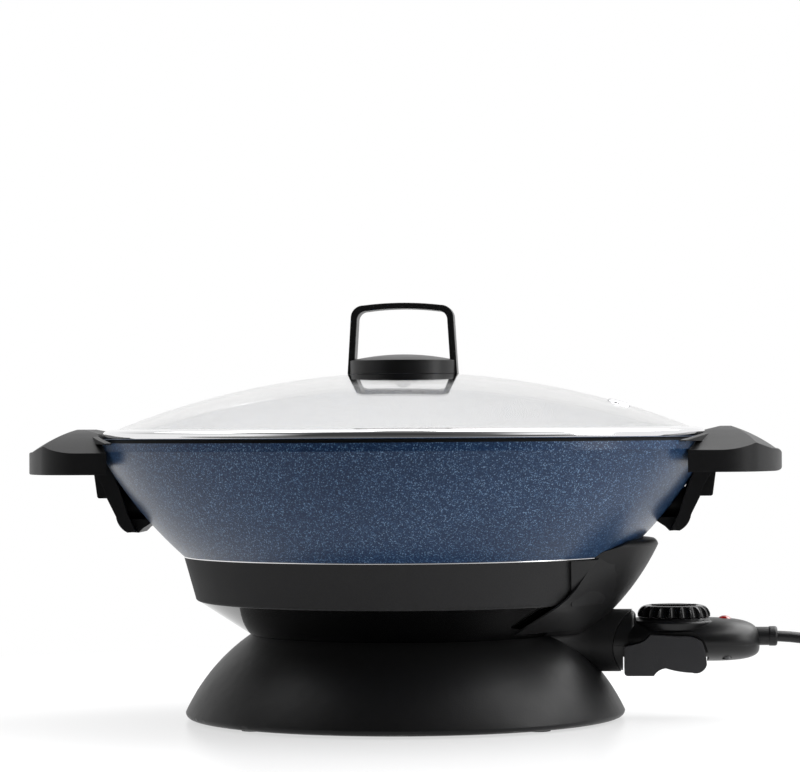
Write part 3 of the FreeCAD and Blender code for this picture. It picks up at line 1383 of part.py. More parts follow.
coil_outside = place(turned("coil_outside", [
    (0, 0.2),
    (S.coil_outer_radius - 2, 0.2),
    (S.coil_outer_radius, 2.2, 2.0),
    (S.coil_outer_radius, S.coil_height - 1.8),
    (S.coil_outer_radius - 2, S.coil_height + 0.2, 2.0),
    (0, S.coil_height + 0.2),
]), coil_place)
cord = cut("cord", cord_tube, coil_outside)
cord_coil = cut("cord_coil", coil_outside, place(turned("coil_hole", [
    (0, -1),
    (S.coil_inner_radius + 3, -1),
    (S.coil_inner_radius + 2, 0.2),
    (S.coil_inner_radius, 2.2, -2.0),
    (S.coil_inner_radius, S.coil_height - 1.8),
    (S.coil_inner_radius + 2, S.coil_height + 0.2, -2.0),
    (S.coil_inner_radius + 3, S.coil_height + 1),
    (0, S.coil_height + 1),
]), coil_place))
# The plug lies beside the coil, on the run that leaves its outermost turn.
plug_out = S.coil_out + S.coil_turn_radius
plug_height = S.plug_half_height + 0.2
plug_face = S.plug_side + S.plug_length
plug_waist = S.plug_side + S.plug_length / 3
plug_plan = padded("plug_plan", "XY", [
    (plug_out - S.plug_neck_half_width, S.plug_side, -60.0),
    (plug_out + S.plug_neck_half_width, S.plug_side),
    (plug_out + S.plug_half_width, plug_waist, -60.0),
    (plug_out + S.plug_half_width, plug_face - 3),
    (plug_out + S.plug_half_width - 3, plug_face, 3.0),
    (plug_out - S.plug_half_width + 3, plug_face),
    (plug_out - S.plug_half_width, plug_face - 3, 3.0),
    (plug_out - S.plug_half_width, plug_waist),
], plug_height - S.plug_half_height, plug_height + S.plug_half_height)
plug_side_view = padded("plug_side_view", "YZ", [
    (S.plug_side, plug_height - S.plug_neck_half_width),
    (plug_waist, plug_height - S.plug_half_height),
    (plug_face, plug_height - S.plug_half_height),
    (plug_face, plug_height + S.plug_half_height),
    (plug_waist, plug_height + S.plug_half_height),
    (S.plug_side, plug_height + S.plug_neck_half_width),
], plug_out - S.plug_half_width, plug_out + S.plug_half_width)
plug_neck = place(turned("plug_neck", [
    (0, 0),
    (S.cord_radius + 1.4, 0),
    (S.plug_neck_half_width - 0.5, S.plug_side - S.coil_side - 10),
    (S.plug_neck_half_width - 0.5, S.plug_side - S.coil_side - 8),
    (0, S.plug_side - S.coil_side - 8),
]), (plug_out, S.coil_side + 10, plug_height), AXIS_TURNS["Y"])
plug_body = cut("plug_body", fuse("plug_solid", common("plug_block", plug_plan, plug_side_view), plug_neck),
                coil_outside)
plug_pins = group("plug_pins", *[
    block(f"plug_pin_{index}",
          (plug_out + S.plug_pin_spacing * offset - S.plug_pin_wall / 2, plug_face,
           plug_height - S.plug_pin_width / 2),
          (plug_out + S.plug_pin_spacing * offset + S.plug_pin_wall / 2, plug_face + S.plug_pin_length,
           plug_height + S.plug_pin_width / 2))
    for index, offset in ((1, -0.5), (2, 0.5))])

# ------------------------------------------------------------------------------------ hand over
NODES = {
    "pan": pan,
    "heating_element": element,
    "element_terminals": element_terminals,
    "terminal_insulators": terminal_insulators,
    "collar_ring": collar_ring,
    "heat_shield": heat_shield,
    "socket_shroud": socket_shroud,
    "probe_guard": probe_guard,
    "base_shell": base_shell,
    "base_feet": base_feet,
    "base_screws": base_screws,
    "right_handle": right_handle,
    "left_handle": left_handle,
    "handle_screws": handle_screws,
    "lid_glass": lid_glass,
    "lid_rim": lid_rim,
    "lid_vent": lid_vent,
    "lid_handle_loop": lid_handle_loop,
    "lid_handle_base": lid_handle_base,
    "lid_handle_seal": lid_handle_seal,
    "lid_handle_washer": lid_handle_washer,
    "lid_handle_screw": lid_handle_screw,
    "probe_upper_shell": probe_upper_shell,
    "probe_lower_shell": probe_lower_shell,
    "probe_stem": probe_stem,
    "probe_contacts": probe_contacts,
    "thermostat": thermostat,
    "dial_shaft": dial_shaft,
    "temperature_dial": temperature_dial,
    "indicator_lens": indicator_lens,
    "probe_trigger": probe_trigger,
    "trigger_pin": trigger_pin,
    "trigger_spring": trigger_spring,
    "probe_screws": probe_screws,
    "cord_sleeve": cord_sleeve,
    "cord": cord,
    "cord_coil": cord_coil,
    "plug_body": plug_body,
    "plug_pins": plug_pins,
}

doc.recompute()
failed = [thing.Name for thing in doc.Objects if {"Invalid", "Error"} & set(thing.State)]
if failed:
    raise RuntimeError(f"these objects failed: {failed}")
os.makedirs("parts", exist_ok=True)
for node, thing in NODES.items():
    thing.Label = node
    shape = thing.Shape
    if shape.isNull() or not shape.isValid():
        raise RuntimeError(f"{node} is not a valid shape")
    shape.exportStep(f"parts/{node}.step")
    print(f"{node}: {len(shape.Solids)} solids, {shape.Volume:.0f} mm3")
print("cord radii", [round(radius, 1) for radius in cord_radii])
cord_length = sum(edge.Length for edge in cord_edges)
print("cord tube volume over section times length:",
      round(cord_tube.Shape.Volume / (math.pi * S.cord_radius.value ** 2 * cord_length), 4))
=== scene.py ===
"""The look of the electric wok: materials, cord, small details, camera, floor and studio light."""
import json
import math

import bmesh
import bpy
from mathutils import Matrix, Vector


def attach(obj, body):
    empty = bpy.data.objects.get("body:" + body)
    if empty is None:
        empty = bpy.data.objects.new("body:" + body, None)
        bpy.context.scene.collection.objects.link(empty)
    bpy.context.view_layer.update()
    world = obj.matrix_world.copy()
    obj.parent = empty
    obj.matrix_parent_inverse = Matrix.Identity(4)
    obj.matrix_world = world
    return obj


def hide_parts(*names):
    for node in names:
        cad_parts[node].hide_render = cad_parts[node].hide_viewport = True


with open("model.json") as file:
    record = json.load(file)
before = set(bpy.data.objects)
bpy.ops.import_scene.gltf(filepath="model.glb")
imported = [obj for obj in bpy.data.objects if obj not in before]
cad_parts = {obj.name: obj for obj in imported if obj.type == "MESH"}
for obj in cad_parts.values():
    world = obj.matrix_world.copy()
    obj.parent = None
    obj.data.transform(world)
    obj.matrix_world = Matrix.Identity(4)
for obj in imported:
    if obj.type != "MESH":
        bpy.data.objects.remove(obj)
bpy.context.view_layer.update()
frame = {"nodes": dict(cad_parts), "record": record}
scene = bpy.context.scene
nodes = frame["nodes"]


def place_object(name, data):
    """A new object for the data, in the scene."""
    placed = bpy.data.objects.new(name, data)
    scene.collection.objects.link(placed)
    return placed


# ------------------------------------------------------------------------------------ camera
PICTURE_LENS = 135.0
SENSOR_WIDTH = 36.0
CAMERA_DISTANCE = 1.90
CAMERA_HEIGHT = 0.1815
CAMERA_YAW = math.radians(4.0)
CAMERA_ROLL = math.radians(-0.35)
AIM = Vector((-0.0022, 0.0, 0.2094))


def add_camera():
    """The camera looks at AIM from the front, a little from the right, and is tilted a little."""
    data = bpy.data.cameras.new("camera")
    data.lens = PICTURE_LENS
    data.sensor_width = SENSOR_WIDTH
    camera = place_object("camera", data)
    camera.location = (CAMERA_DISTANCE * math.sin(CAMERA_YAW),
                       -CAMERA_DISTANCE * math.cos(CAMERA_YAW), CAMERA_HEIGHT)
    look = (AIM - camera.location).to_track_quat("-Z", "Y").to_matrix()
    camera.rotation_euler = (look @ Matrix.Rotation(CAMERA_ROLL, 3, "Z")).to_euler()
    scene.camera = camera


add_camera()

# ------------------------------------------------------------------------------------ cord
CORD_RADIUS = 0.0034
CORD_ROUTE = [
    (0.228, 0.0, 0.051), (0.250, 0.0, 0.051), (0.280, 0.0015, 0.041), (0.306, 0.004, 0.0225),
    (0.331, 0.0075, 0.0086), (0.3595, 0.0094, 0.0042), (0.388, 0.010, 0.0037),
]
COIL_CENTRE = (0.402, 0.0516)
OUTER_TURN = 0.0416
INNER_TURN = 0.0346
LOW_TURN = 0.0037
HIGH_TURN = 0.0106
POINTS_PER_TURN = 16
QUARTER_TURN = POINTS_PER_TURN // 4
COIL_TURNS = [(OUTER_TURN, LOW_TURN), (INNER_TURN, LOW_TURN), (INNER_TURN, HIGH_TURN),
              (OUTER_TURN, HIGH_TURN)]
TAIL_REACH = 0.046
TAIL_END = (COIL_CENTRE[0] + OUTER_TURN, COIL_CENTRE[1] + TAIL_REACH, HIGH_TURN)


def coil_points():
    """The turns run anticlockwise from the coil's front and end at its right side.

    In its last quarter each turn but the last steps over to the next one's radius and height.
    """
    points = []
    for index in range(len(COIL_TURNS) * POINTS_PER_TURN + QUARTER_TURN + 1):
        turn, place = divmod(index, POINTS_PER_TURN)
        turn = min(turn, len(COIL_TURNS) - 1)
        radius, height = COIL_TURNS[turn]
        if turn + 1 < len(COIL_TURNS) and place >= POINTS_PER_TURN - QUARTER_TURN:
            share = (place - POINTS_PER_TURN + QUARTER_TURN + 1) / (QUARTER_TURN + 1)
            radius += (COIL_TURNS[turn + 1][0] - radius) * share
            height += (COIL_TURNS[turn + 1][1] - height) * share
        angle = -math.pi / 2 + 2 * math.pi * index / POINTS_PER_TURN
        points.append((COIL_CENTRE[0] + radius * math.cos(angle),
                       COIL_CENTRE[1] + radius * math.sin(angle), height))
    return points


def add_cord():
    """The cord from its sleeve down to the floor, round the coil and into the plug."""
    data = bpy.data.curves.new("mains_cord", "CURVE")
    data.dimensions = "3D"
    data.bevel_depth = CORD_RADIUS
    data.bevel_resolution = 6
    data.resolution_u = 6
    data.use_fill_caps = True
    points = CORD_ROUTE + coil_points() + [TAIL_END]
    spline = data.splines.new("NURBS")
    spline.points.add(len(points) - 1)
    for point, place in zip(spline.points, points):
        point.co = (*place, 1.0)
    spline.order_u = 3
    spline.use_endpoint_u = True
    return place_object("mains_cord", data)


mains_cord = add_cord()


# ------------------------------------------------------------------------------------ node trees
class Tree:
    """A node tree, with short ways to add nodes and to feed their inputs."""

    def __init__(self, tree):
        self.tree = tree

    def feed(self, socket, value):
        """Link an input to another node's output, or set it to a number, colour or vector."""
        if isinstance(value, bpy.types.NodeSocket):
            self.tree.links.new(value, socket)
        elif socket.type == "RGBA":
            socket.default_value = (*value, 1.0)
        else:
            socket.default_value = value

    def fill(self, node, *values, **named):
        """Feed a node's inputs in their order, or by name with _ for each space."""
        shown = [socket for socket in node.inputs if socket.enabled]
        for socket, value in zip(shown, values):
            self.feed(socket, value)
        for name, value in named.items():
            self.feed(node.inputs[name.replace("_", " ")], value)
        return node

    def add(self, kind, *values, **named):
        return self.fill(self.tree.nodes.new(kind), *values, **named)

    def math(self, operation, first, second):
        node = self.add("ShaderNodeMath")
        node.operation = operation
        return self.fill(node, first, second).outputs[0]

    def measure(self, operation, *vectors):
        """A number worked out from one vector or two."""
        node = self.add("ShaderNodeVectorMath")
        node.operation = operation
        return self.fill(node, *vectors).outputs["Value"]

    def axis(self, vector, name):
        return self.add("ShaderNodeSeparateXYZ", vector).outputs[name]

    def spread(self, value, target, source=(0.0, 1.0), smooth=False):
        """A value in the source range, stretched to run over the target range."""
        node = self.add("ShaderNodeMapRange", Value=value, From_Min=source[0],
                        From_Max=source[1], To_Min=target[0], To_Max=target[1])
        if smooth:
            node.interpolation_type = "SMOOTHSTEP"
        return node.outputs["Result"]

    def mix(self, fac, first, second, kind="RGBA", blend="MIX"):
        """Two colours or two numbers mixed, or two colours blended in another way."""
        node = self.add("ShaderNodeMix")
        node.data_type = kind
        node.blend_type = blend
        self.fill(node, fac, first, second)
        return next(socket for socket in node.outputs if socket.enabled)

    def rays(self):
        """1 for a ray from the camera or through glass, and 1 for a glossy ray; otherwise 0."""
        path = self.add("ShaderNodeLightPath")
        seen = self.math("MAXIMUM", path.outputs["Is Camera Ray"],
                         path.outputs["Is Transmission Ray"])
        return seen, path.outputs["Is Glossy Ray"]


BEVEL_SAMPLES = 6


class Shader(Tree):
    """The node tree of a new material, round its principled surface."""

    def __init__(self, name, color, roughness, **surface):
        self.material = bpy.data.materials.new(name)
        self.material.use_nodes = True
        super().__init__(self.material.node_tree)
        self.surface = self.tree.nodes["Principled BSDF"]
        self.set(Base_Color=color, Roughness=roughness, **surface)
        self.place = self.add("ShaderNodeTexCoord").outputs["Object"]
        self.normal = None

    def set(self, **inputs):
        self.fill(self.surface, **inputs)

    def noise(self, scale, detail=2.0):
        return self.add("ShaderNodeTexNoise", Vector=self.place, Scale=scale,
                        Detail=detail).outputs["Fac"]

    def ramp(self, fac, *stops):
        """A colour or a grey level for each stop of a value, and what lies between them."""
        node = self.add("ShaderNodeValToRGB", fac)
        elements = node.color_ramp.elements
        while len(elements) < len(stops):
            elements.new(0.5)
        for element, (at, level) in zip(elements, stops):
            color = level if isinstance(level, tuple) else (level, level, level)
            element.position = at
            element.color = (*color, 1.0)
        return node.outputs["Color"]

    def rounded(self, radius):
        """Sharp edges catch the light as if they were rounded."""
        node = self.add("ShaderNodeBevel", Radius=radius)
        node.samples = BEVEL_SAMPLES
        self.normal = node.outputs["Normal"]
        self.set(Normal=self.normal)

    def bump(self, height, distance):
        node = self.add("ShaderNodeBump", Height=height, Distance=distance)
        if self.normal:
            self.fill(node, Normal=self.normal)
        self.set(Normal=node.outputs["Normal"])


# ------------------------------------------------------------------------------------ materials
FLAKE_SCALE = 1750.0
PALER_GRAIN = 1.35  # how much paler than its colour a plastic's grain gets
PLASTIC_UNEVEN = 0.05  # how far a plastic's roughness strays
METAL_UNEVEN = 0.15  # the share of its own roughness by which a metal's strays


def speckled_paint(name):
    """Blue non-stick coating: a deep blue full of fine flakes, a few of them bright."""
    shader = Shader(name, (0.03, 0.06, 0.12), 0.30, Specular_IOR_Level=0.28, Coat_Weight=0.06,
                    Coat_Roughness=0.16)
    cells = shader.add("ShaderNodeTexVoronoi", Vector=shader.place, Scale=FLAKE_SCALE)
    flakes = shader.ramp(cells.outputs["Color"], (0.25, (0.50, 0.60, 0.70)), (0.62, 1.0),
                         (0.74, (2.6, 2.0, 1.7)), (0.86, (15.0, 6.8, 4.0)))
    ground = shader.ramp(shader.noise(scale=14.0, detail=3.0), (0.3, (0.0050, 0.021, 0.060)),
                         (0.7, (0.0078, 0.028, 0.074)))
    shader.set(Base_Color=shader.mix(1.0, ground, flakes, blend="MULTIPLY"),
               Roughness=shader.spread(shader.noise(scale=500.0), (0.26, 0.36)))
    shader.bump(shader.noise(scale=1100.0), distance=0.00004)
    return shader.material


def moulded(name, color, roughness, specular=0.4, grain=1600.0, depth=0.00005, edge=0.0005):
    """Moulded plastic: a fine spark-eroded grain, and slightly uneven gloss."""
    shader = Shader(name, color, roughness, Specular_IOR_Level=specular)
    shader.rounded(edge)
    paler = tuple(level * PALER_GRAIN for level in color)
    gloss = (roughness - PLASTIC_UNEVEN, roughness + PLASTIC_UNEVEN)
    shader.set(Base_Color=shader.mix(shader.noise(grain, detail=3.0), color, paler),
               Roughness=shader.spread(shader.noise(scale=60.0, detail=4.0), gloss))
    shader.bump(shader.noise(grain, detail=1.0), depth)
    return shader.material


def polished(name, color, roughness):
    """Bright metal, slightly uneven in its gloss."""
    shader = Shader(name, color, roughness, Metallic=1.0)
    gloss = (roughness * (1 - METAL_UNEVEN), roughness * (1 + METAL_UNEVEN))
    shader.set(Roughness=shader.spread(shader.noise(scale=40.0, detail=3.0), gloss))
    return shader.material


def clear_glass(name):
    """Clear glass that is very slightly hazy in places."""
    shader = Shader(name, (1.0, 1.0, 1.0), 0.0, Transmission_Weight=1.0, IOR=1.5)
    haze = shader.ramp(shader.noise(scale=30.0, detail=4.0), (0.5, 0.0), (1.0, 0.003))
    shader.set(Roughness=haze)
    return shader.material


def red_lens(name):
    """The lamp's red plastic lens, which lets some light through."""
    shader = Shader(name, (0.6, 0.012, 0.01), 0.12, Coat_Weight=0.6, Coat_Roughness=0.05,
                    Transmission_Weight=0.35, IOR=1.49)
    shader.set(Base_Color=shader.ramp(shader.noise(scale=400.0), (0.3, (0.45, 0.008, 0.008)),
                                      (0.7, (0.75, 0.02, 0.015))))
    return shader.material


BLACK = (0.0060, 0.0060, 0.0064)
METALS = {  # colour and roughness, as polished takes them
    "element_sheath": ((0.32, 0.31, 0.29), 0.45),
    "terminal_steel": ((0.6, 0.6, 0.61), 0.25),
    # painted shade: the screws' steel is darkened well below its own colour, so that the screws
    # read as the shaded recesses they sit in
    "screw_steel": ((0.16, 0.16, 0.165), 0.35),
    "lid_chrome": ((0.82, 0.82, 0.83), 0.08),
    "vent_steel": ((0.7, 0.7, 0.71), 0.15),
    "stem_steel": ((0.62, 0.62, 0.63), 0.2),
    "contact_brass": ((0.62, 0.46, 0.2), 0.28),
    "spring_steel": ((0.5, 0.5, 0.51), 0.25),
    "pin_brass": ((0.66, 0.52, 0.26), 0.22),
}
PLASTICS = {  # colour, roughness, specular, grain, depth and edge, as moulded takes them
    "insulator": ((0.72, 0.69, 0.62), 0.6),
    "collar_paint": ((0.023, 0.023, 0.0235), 0.58, 0.07, 1100.0),
    "shield_enamel": ((0.0015, 0.0015, 0.0016), 0.06, 0.85, 200.0, 0.00001),
    "body_plastic": (BLACK, 0.48, 0.25),
    "base_plastic": ((0.0058, 0.0058, 0.0062), 0.42, 0.19, 1300.0),
    "handle_plastic": (BLACK, 0.44, 0.19),
    "foot_rubber": ((0.012, 0.012, 0.012), 0.8, 0.2),
    "lid_handle_plastic": (BLACK, 0.36, 0.30),
    "seal_silicone": ((0.02, 0.02, 0.02), 0.7, 0.2),
    "probe_plastic": ((0.004, 0.004, 0.0043), 0.36, 0.35),
    "trigger_plastic": ((0.022, 0.022, 0.024), 0.36),
    "dial_plastic": ((0.003, 0.003, 0.0032), 0.20, 0.30, 1600.0, 0.00005, 0.0003),
    "thermostat_body": ((0.35, 0.30, 0.22), 0.6),
    "cord_vinyl": ((0.007, 0.007, 0.0075), 0.38, 0.32, 700.0, 0.00002),
    "plug_vinyl": ((0.011, 0.011, 0.0115), 0.45),
}
MATERIALS = {
    "pan_coating": speckled_paint("pan_coating"),
    "lid_glass": clear_glass("lid_glass"),
    "lens_red": red_lens("lens_red"),
    **{name: polished(name, *finish) for name, finish in METALS.items()},
    **{name: moulded(name, *finish) for name, finish in PLASTICS.items()},
}
PRINT = moulded("print_white", (0.72, 0.72, 0.70), 0.5)


def paint(piece, slot):
    """Give a piece the finish of one of the record's material slots."""
    piece.data.materials.clear()
    piece.data.materials.append(MATERIALS[slot])


for part in frame["record"]["subparts"]:
    paint(nodes[part["node"]], part["material_slot"])

# ------------------------------------------------------------------------------------ rings
RING_STEPS = 288
RING_SHARP = math.radians(40.0)


def add_mesh(name, points, faces, body, sharp, slot=None):
    """A smooth mesh, split in its shading where it bends more sharply than the angle."""
    mesh = bpy.data.meshes.new(name)
    mesh.from_pydata(points, [], faces)
    solid = bmesh.new()
    solid.from_mesh(mesh)
    bmesh.ops.recalc_face_normals(solid, faces=solid.faces)
    for face in solid.faces:
        face.smooth = True
    for edge in solid.edges:
        edge.smooth = len(edge.link_faces) == 2 and edge.calc_face_angle(0.0) < sharp
    solid.to_mesh(mesh)
    solid.free()
    piece = place_object(name, mesh)
    if slot:
        paint(piece, slot)
    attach(piece, body)
    return piece


def lathe(name, profile, body, slot):
    """A ring swept round the Z axis from a closed profile of (radius, height) points."""
    count = len(profile)
    turns = [2 * math.pi * step / RING_STEPS for step in range(RING_STEPS)]
    points = [(radius * math.cos(turn), radius * math.sin(turn), height)
              for turn in turns for radius, height in profile]
    faces = []
    for step in range(RING_STEPS):
        here, there = step * count, (step + 1) % RING_STEPS * count
        faces += [(here + k, there + k, there + (k + 1) % count, here + (k + 1) % count)
                  for k in range(count)]
    return add_mesh(name, points, faces, body, RING_SHARP, slot)


RIM_PROFILE = [
    (0.1834, 0.1744), (0.1845, 0.1716), (0.1875, 0.1716), (0.1875, 0.1763),
    (0.1885, 0.1763), (0.18905, 0.17638), (0.18948, 0.17662), (0.18978, 0.17700),
    (0.18994, 0.17745), (0.19000, 0.17800), (0.19000, 0.17860), (0.18998, 0.17925),
    (0.18989, 0.17980), (0.18968, 0.18035), (0.18932, 0.18085), (0.18880, 0.18130),
    (0.18820, 0.18166), (0.18750, 0.18194), (0.18600, 0.18226), (0.18440, 0.18253),
    (0.1830, 0.1827), (0.1830, 0.18196), (0.1870, 0.1803), (0.1870, 0.1744),
]
rim = lathe("lid_rim_rolled", RIM_PROFILE, "lid", "lid_chrome")
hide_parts("lid_rim")

# a dark ring in the gap between the lid's rim and the pan's rim, which keeps the gap black
GAP_RING_PROFILE = [
    (0.18752, 0.1719), (0.18795, 0.1722), (0.18795, 0.1760), (0.18835, 0.17632),
    (0.18752, 0.17632),
]
lathe("lid_gap_ring", GAP_RING_PROFILE, "lid", "seal_silicone")

# painted highlight: a thin chrome bead round the collar's top edge, added so that the edge shows a
# bright line
COLLAR_EDGE = (0.13920, 0.10300)
BEAD_RADIUS = 0.00045
BEAD_STEPS = 12
HIGHLIGHT_BEAD_PROFILE = [(COLLAR_EDGE[0] + BEAD_RADIUS * math.cos(turn),
                 COLLAR_EDGE[1] + BEAD_RADIUS * math.sin(turn))
                for turn in (2 * math.pi * step / BEAD_STEPS for step in range(BEAD_STEPS))]
lathe("collar_highlight_bead", HIGHLIGHT_BEAD_PROFILE, "cooker", "lid_chrome")

# ------------------------------------------------------------------------------------ guard cheeks
GUARD_AXIS = 0.0706
CHEEK_EDGE = [  # height, how far out the cheek meets the collar, the collar's radius there
    (0.1036, 0.1236, 0.1412), (0.0985, 0.1192, 0.1398), (0.0920, 0.1144, 0.1384),
    (0.0850, 0.1098, 0.1378), (0.0790, 0.1042, 0.1372), (0.0745, 0.0985, 0.1342),
    (0.0690, 0.0905, 0.1270), (0.0630, 0.0815, 0.1180), (0.0570, 0.0720, 0.1080),
]
CHEEK_STEPS = 14
CHEEK_WALL = 0.0012
CHEEK_SINK = 0.0001
CHEEK_SHARP = math.radians(60.0)
PAST_GUARD = 0.30
CLEAR_OF_SOCKET = -0.04


def guard_radius(height):
    """How far the guard's outer face is from the guard's own axis, at a height."""
    outside = Vector((PAST_GUARD, CLEAR_OF_SOCKET, height))
    hit = nodes["probe_guard"].ray_cast(outside, Vector((-1.0, 0.0, 0.0)))[1]
    return math.hypot(hit.x - GUARD_AXIS, hit.y)


def cheek_row(height, out, ring):
    """Places on a line from the collar that touches the guard's outer face as a tangent."""
    start = Vector((out, -math.sqrt(ring * ring - out * out)))
    radius = guard_radius(height) - CHEEK_SINK
    away = Vector((start.x - GUARD_AXIS, start.y))
    turn = math.atan2(away.y, away.x) + math.acos(min(1.0, radius / away.length))
    end = Vector((GUARD_AXIS + radius * math.cos(turn), radius * math.sin(turn)))
    return [start.lerp(end, step / CHEEK_STEPS) for step in range(CHEEK_STEPS + 1)]


def add_guard_cheeks():
    """The guard's face carried on to the collar by a smooth cheek on each side."""
    row = CHEEK_STEPS + 1
    faces = [(r * row + k, r * row + k + 1, (r + 1) * row + k + 1, (r + 1) * row + k)
             for r in range(len(CHEEK_EDGE) - 1) for k in range(CHEEK_STEPS)]
    for name, side in (("guard_cheek_front", 1), ("guard_cheek_rear", -1)):
        points = [(spot.x, side * spot.y, height) for height, out, ring in CHEEK_EDGE
                  for spot in cheek_row(height, out, ring)]
        cheek = add_mesh(name, points, faces, "cooker", CHEEK_SHARP, "body_plastic")
        wall = cheek.modifiers.new("wall", "SOLIDIFY")
        wall.thickness = CHEEK_WALL
        wall.offset = -1.0 if cheek.data.polygons[0].normal.x > 0 else 1.0


add_guard_cheeks()

# ------------------------------------------------------------------------------------ dial marks
DIAL_AXIS = (0.1695, 0.0)
DIAL_FLOOR = 0.0698
NUMBER_RADIUS = 0.0106
NUMBER_SIZE = 0.0042
NUMBER_RELIEF = 0.00004
NUMBER_TURNS = (30, 70, 110, 150, 210, 237, 263, 290)
POINTER_HALF = 0.0004
POINTER_ENDS = [(0.0080, 0.0712), (0.0136, 0.0712)]  # radius, height
INDEX_HALF = 0.0006
INDEX_ENDS = [(0.0234, 0.06253), (0.0254, 0.06159)]
MARK_SINK = -0.0002
MARK_RISE = 0.00006
MARK_SHARP = math.radians(30.0)
BOX_FACES = [(0, 2, 3, 1), (4, 5, 7, 6), (0, 1, 5, 4), (2, 6, 7, 3), (0, 4, 6, 2), (1, 3, 7, 5)]


def number_mesh(number, turn):
    """One number, flat on the dial, with its foot towards the dial's axis."""
    curve = bpy.data.curves.new("number", "FONT")
    curve.body = str(number)
    curve.size = NUMBER_SIZE
    curve.align_x = "CENTER"
    curve.align_y = "CENTER"
    curve.extrude = NUMBER_RELIEF
    text = bpy.data.objects.new("number", curve)
    mesh = bpy.data.meshes.new_from_object(text)
    bpy.data.objects.remove(text)
    angle = -math.radians(turn)
    place = Vector((DIAL_AXIS[0] + NUMBER_RADIUS * math.cos(angle),
                    DIAL_AXIS[1] + NUMBER_RADIUS * math.sin(angle), DIAL_FLOOR))
    mesh.transform(Matrix.Translation(place) @ Matrix.Rotation(angle - math.pi / 2, 4, "Z"))
    return mesh


def add_dial_numbers():
    """Plain numbers printed on the dial, each at the index mark when the dial is turned to it."""
    marks = bmesh.new()
    for number, turn in enumerate(NUMBER_TURNS, start=1):
        marks.from_mesh(number_mesh(number, turn))
    mesh = bpy.data.meshes.new("dial_numbers")
    marks.to_mesh(mesh)
    marks.free()
    mesh.materials.append(PRINT)
    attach(place_object("dial_numbers", mesh), "dial")


def add_mark(name, half, ends, body):
    """A thin printed line out from the dial's axis, between two (radius, height) places."""
    points = [(DIAL_AXIS[0] + radius, DIAL_AXIS[1] + side * half, height + lift)
              for lift in (MARK_SINK, MARK_RISE) for radius, height in ends
              for side in (-1, 1)]
    mark = add_mesh(name, points, BOX_FACES, body, MARK_SHARP)
    mark.data.materials.append(PRINT)


add_dial_numbers()
add_mark("dial_pointer_mark", POINTER_HALF, POINTER_ENDS, "dial")
add_mark("dial_index_mark", INDEX_HALF, INDEX_ENDS, "probe")

# ------------------------------------------------------------------------------------ soft edges
SOFT_EDGES = {  # node and the width of its rounded edges
    "left_handle": 0.0028, "right_handle": 0.0028, "base_shell": 0.0008,
    "probe_guard": 0.0008, "collar_ring": 0.0006, "lid_handle_base": 0.0008,
    "lid_handle_loop": 0.0009, "probe_trigger": 0.0007, "socket_shroud": 0.0005,
    "plug_body": 0.0009,
}
JOIN_DISTANCE = 0.000005
EDGE_SEGMENTS = 3
EDGE_ANGLE = math.radians(32.0)
SHADING_WEIGHT = 60


def soften(piece, width):
    """Round a CAD node's sharp edges by modifiers, and shade it smooth.

    Its own points and faces stay as they are.
    """
    weld = piece.modifiers.new("joined_faces", "WELD")
    weld.merge_threshold = JOIN_DISTANCE
    bevel = piece.modifiers.new("soft_edges", "BEVEL")
    bevel.width = width
    bevel.segments = EDGE_SEGMENTS
    bevel.limit_method = "ANGLE"
    bevel.angle_limit = EDGE_ANGLE
    bevel.use_clamp_overlap = True
    bevel.miter_outer = "MITER_ARC"
    even = piece.modifiers.new("even_shading", "WEIGHTED_NORMAL")
    even.mode = "FACE_AREA_WITH_ANGLE"
    even.weight = SHADING_WEIGHT
    piece.data.polygons.foreach_set("use_smooth", [True] * len(piece.data.polygons))


for name, width in SOFT_EDGES.items():
    soften(nodes[name], width)

# ------------------------------------------------------------------------------------ cord facts
paint(mains_cord, "cord_vinyl")
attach(mains_cord, "probe")
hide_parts("cord", "cord_coil")

# ------------------------------------------------------------------------------------ floor
WHITE = (1.0, 1.0, 1.0)
FLOOR_HALF = 6.0
LIT_RADIUS = 0.34
WHITE_RADIUS = 0.62
WHITE_SHARE = 0.62
PAINTED_POOL_REACH = (-0.50, -0.18)
PAINTED_POOL_LEVEL = 0.10


def studio_floor():
    """Pale under the wok and plain white away from it; mirrored, it glows as a painted pool of
    light that darkens towards the front.
    """
    shader = Shader("studio_floor", (0.9, 0.9, 0.905), 0.22)
    shader.set(Roughness=shader.spread(shader.noise(scale=3.0), (0.2, 0.26)))
    place = shader.add("ShaderNodeNewGeometry").outputs["Position"]
    away = shader.spread(shader.measure("LENGTH", place), (WHITE_SHARE, 1.0),
                         (LIT_RADIUS, WHITE_RADIUS))
    seen, glossy = shader.rays()
    share = shader.math("MAXIMUM", shader.math("MULTIPLY", away, seen), glossy)
    # painted light: mirrored, the floor's glow is a painted pool of light, full near and behind
    # the wok and dimmer towards the front
    painted_pool = shader.spread(shader.axis(place, "Y"), (PAINTED_POOL_LEVEL, 1.0), PAINTED_POOL_REACH)
    white = shader.add("ShaderNodeEmission", Color=WHITE,
                       Strength=shader.math("MAXIMUM", painted_pool, seen))
    join = shader.add("ShaderNodeMixShader", share, shader.surface.outputs[0], white.outputs[0])
    shader.fill(shader.tree.nodes["Material Output"], Surface=join.outputs[0])
    return shader.material


def add_floor():
    """A square floor under the wok."""
    mesh = bpy.data.meshes.new("floor")
    corners = [(x * FLOOR_HALF, y * FLOOR_HALF, 0.0)
               for x, y in ((-1, -1), (1, -1), (1, 1), (-1, 1))]
    mesh.from_pydata(corners, [], [(0, 1, 2, 3)])
    floor = place_object("floor", mesh)
    floor.data.materials.append(studio_floor())


add_floor()

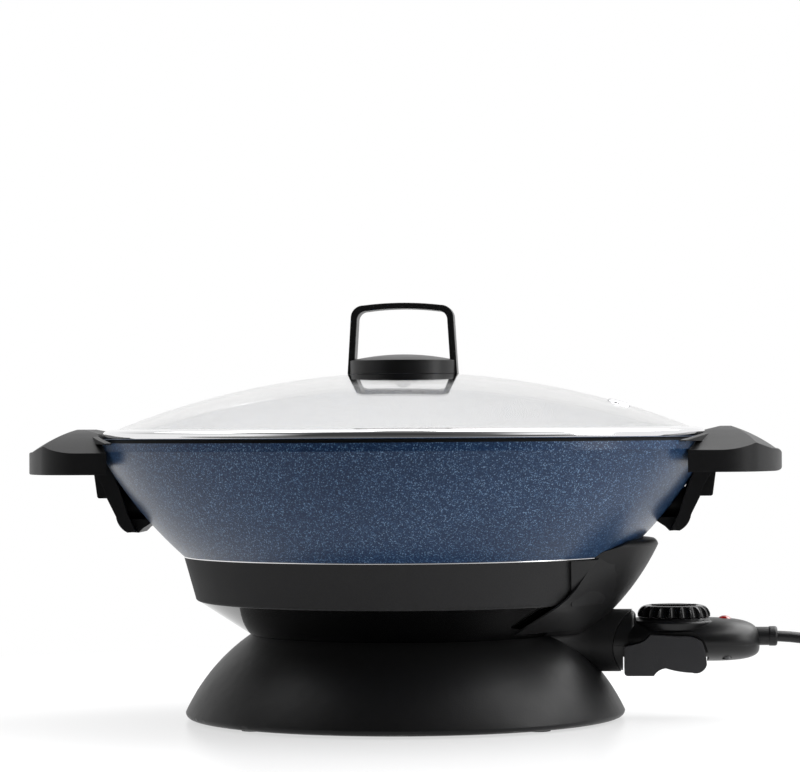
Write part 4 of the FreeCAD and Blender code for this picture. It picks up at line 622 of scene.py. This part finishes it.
# ------------------------------------------------------------------------------------ backdrop
BRIGHT_SIDE = (0.42, 0.89, 0.15)
SIDE_REACH = (-0.8, 0.9)
SIDE_LEVEL = 0.05
WALL_TOP = (0.30, 0.60)
WALL_FRONT = (-0.88, -0.55)


def add_world():
    """White for the camera and through glass; otherwise brighter behind the wok than in front.

    What is mirrored also shows a white wall all round, low down, apart from straight in front.
    """
    world = bpy.data.worlds.new("studio")
    scene.world = world
    world.use_nodes = True
    world.node_tree.nodes.clear()
    sky = Tree(world.node_tree)
    toward = sky.add("ShaderNodeTexCoord").outputs["Generated"]
    side = sky.spread(sky.measure("DOT_PRODUCT", toward, BRIGHT_SIDE), (SIDE_LEVEL, 1.0),
                      SIDE_REACH, smooth=True)
    low = sky.spread(sky.axis(toward, "Z"), (1.0, 0.0), WALL_TOP)
    aside = sky.spread(sky.axis(toward, "Y"), (0.0, 1.0), WALL_FRONT, smooth=True)
    seen, glossy = sky.rays()
    wall = sky.math("MULTIPLY", sky.math("MULTIPLY", low, aside), glossy)
    level = sky.mix(seen, sky.math("MAXIMUM", side, wall), 1.0, kind="FLOAT")
    back = sky.add("ShaderNodeBackground", Color=WHITE, Strength=level)
    sky.add("ShaderNodeOutputWorld", Surface=back.outputs[0])


add_world()

# ------------------------------------------------------------------------------------ lamps
LAMP_AIM = Vector((0.0, 0.0, 0.1))
SOFTBOXES = [  # name, place, width, height, power
    ("key_softbox", (0.84, 0.34, 1.45), 1.9, 1.9, 55.0),
    ("fill_softbox", (-0.74, 0.12, 1.50), 1.4, 1.4, 17.0),
    ("right_softbox", (1.15, -0.34, 0.42), 0.35, 0.7, 3.0),
]


def add_softbox(name, place, width, height, power):
    """A rectangular lamp that points at the wok."""
    data = bpy.data.lights.new(name, "AREA")
    data.shape = "RECTANGLE"
    data.size = width
    data.size_y = height
    data.energy = power
    lamp = place_object(name, data)
    lamp.location = place
    lamp.rotation_euler = (LAMP_AIM - Vector(place)).to_track_quat("-Z", "Y").to_euler()


for softbox in SOFTBOXES:
    add_softbox(*softbox)

scene.view_settings.view_transform = "Standard"
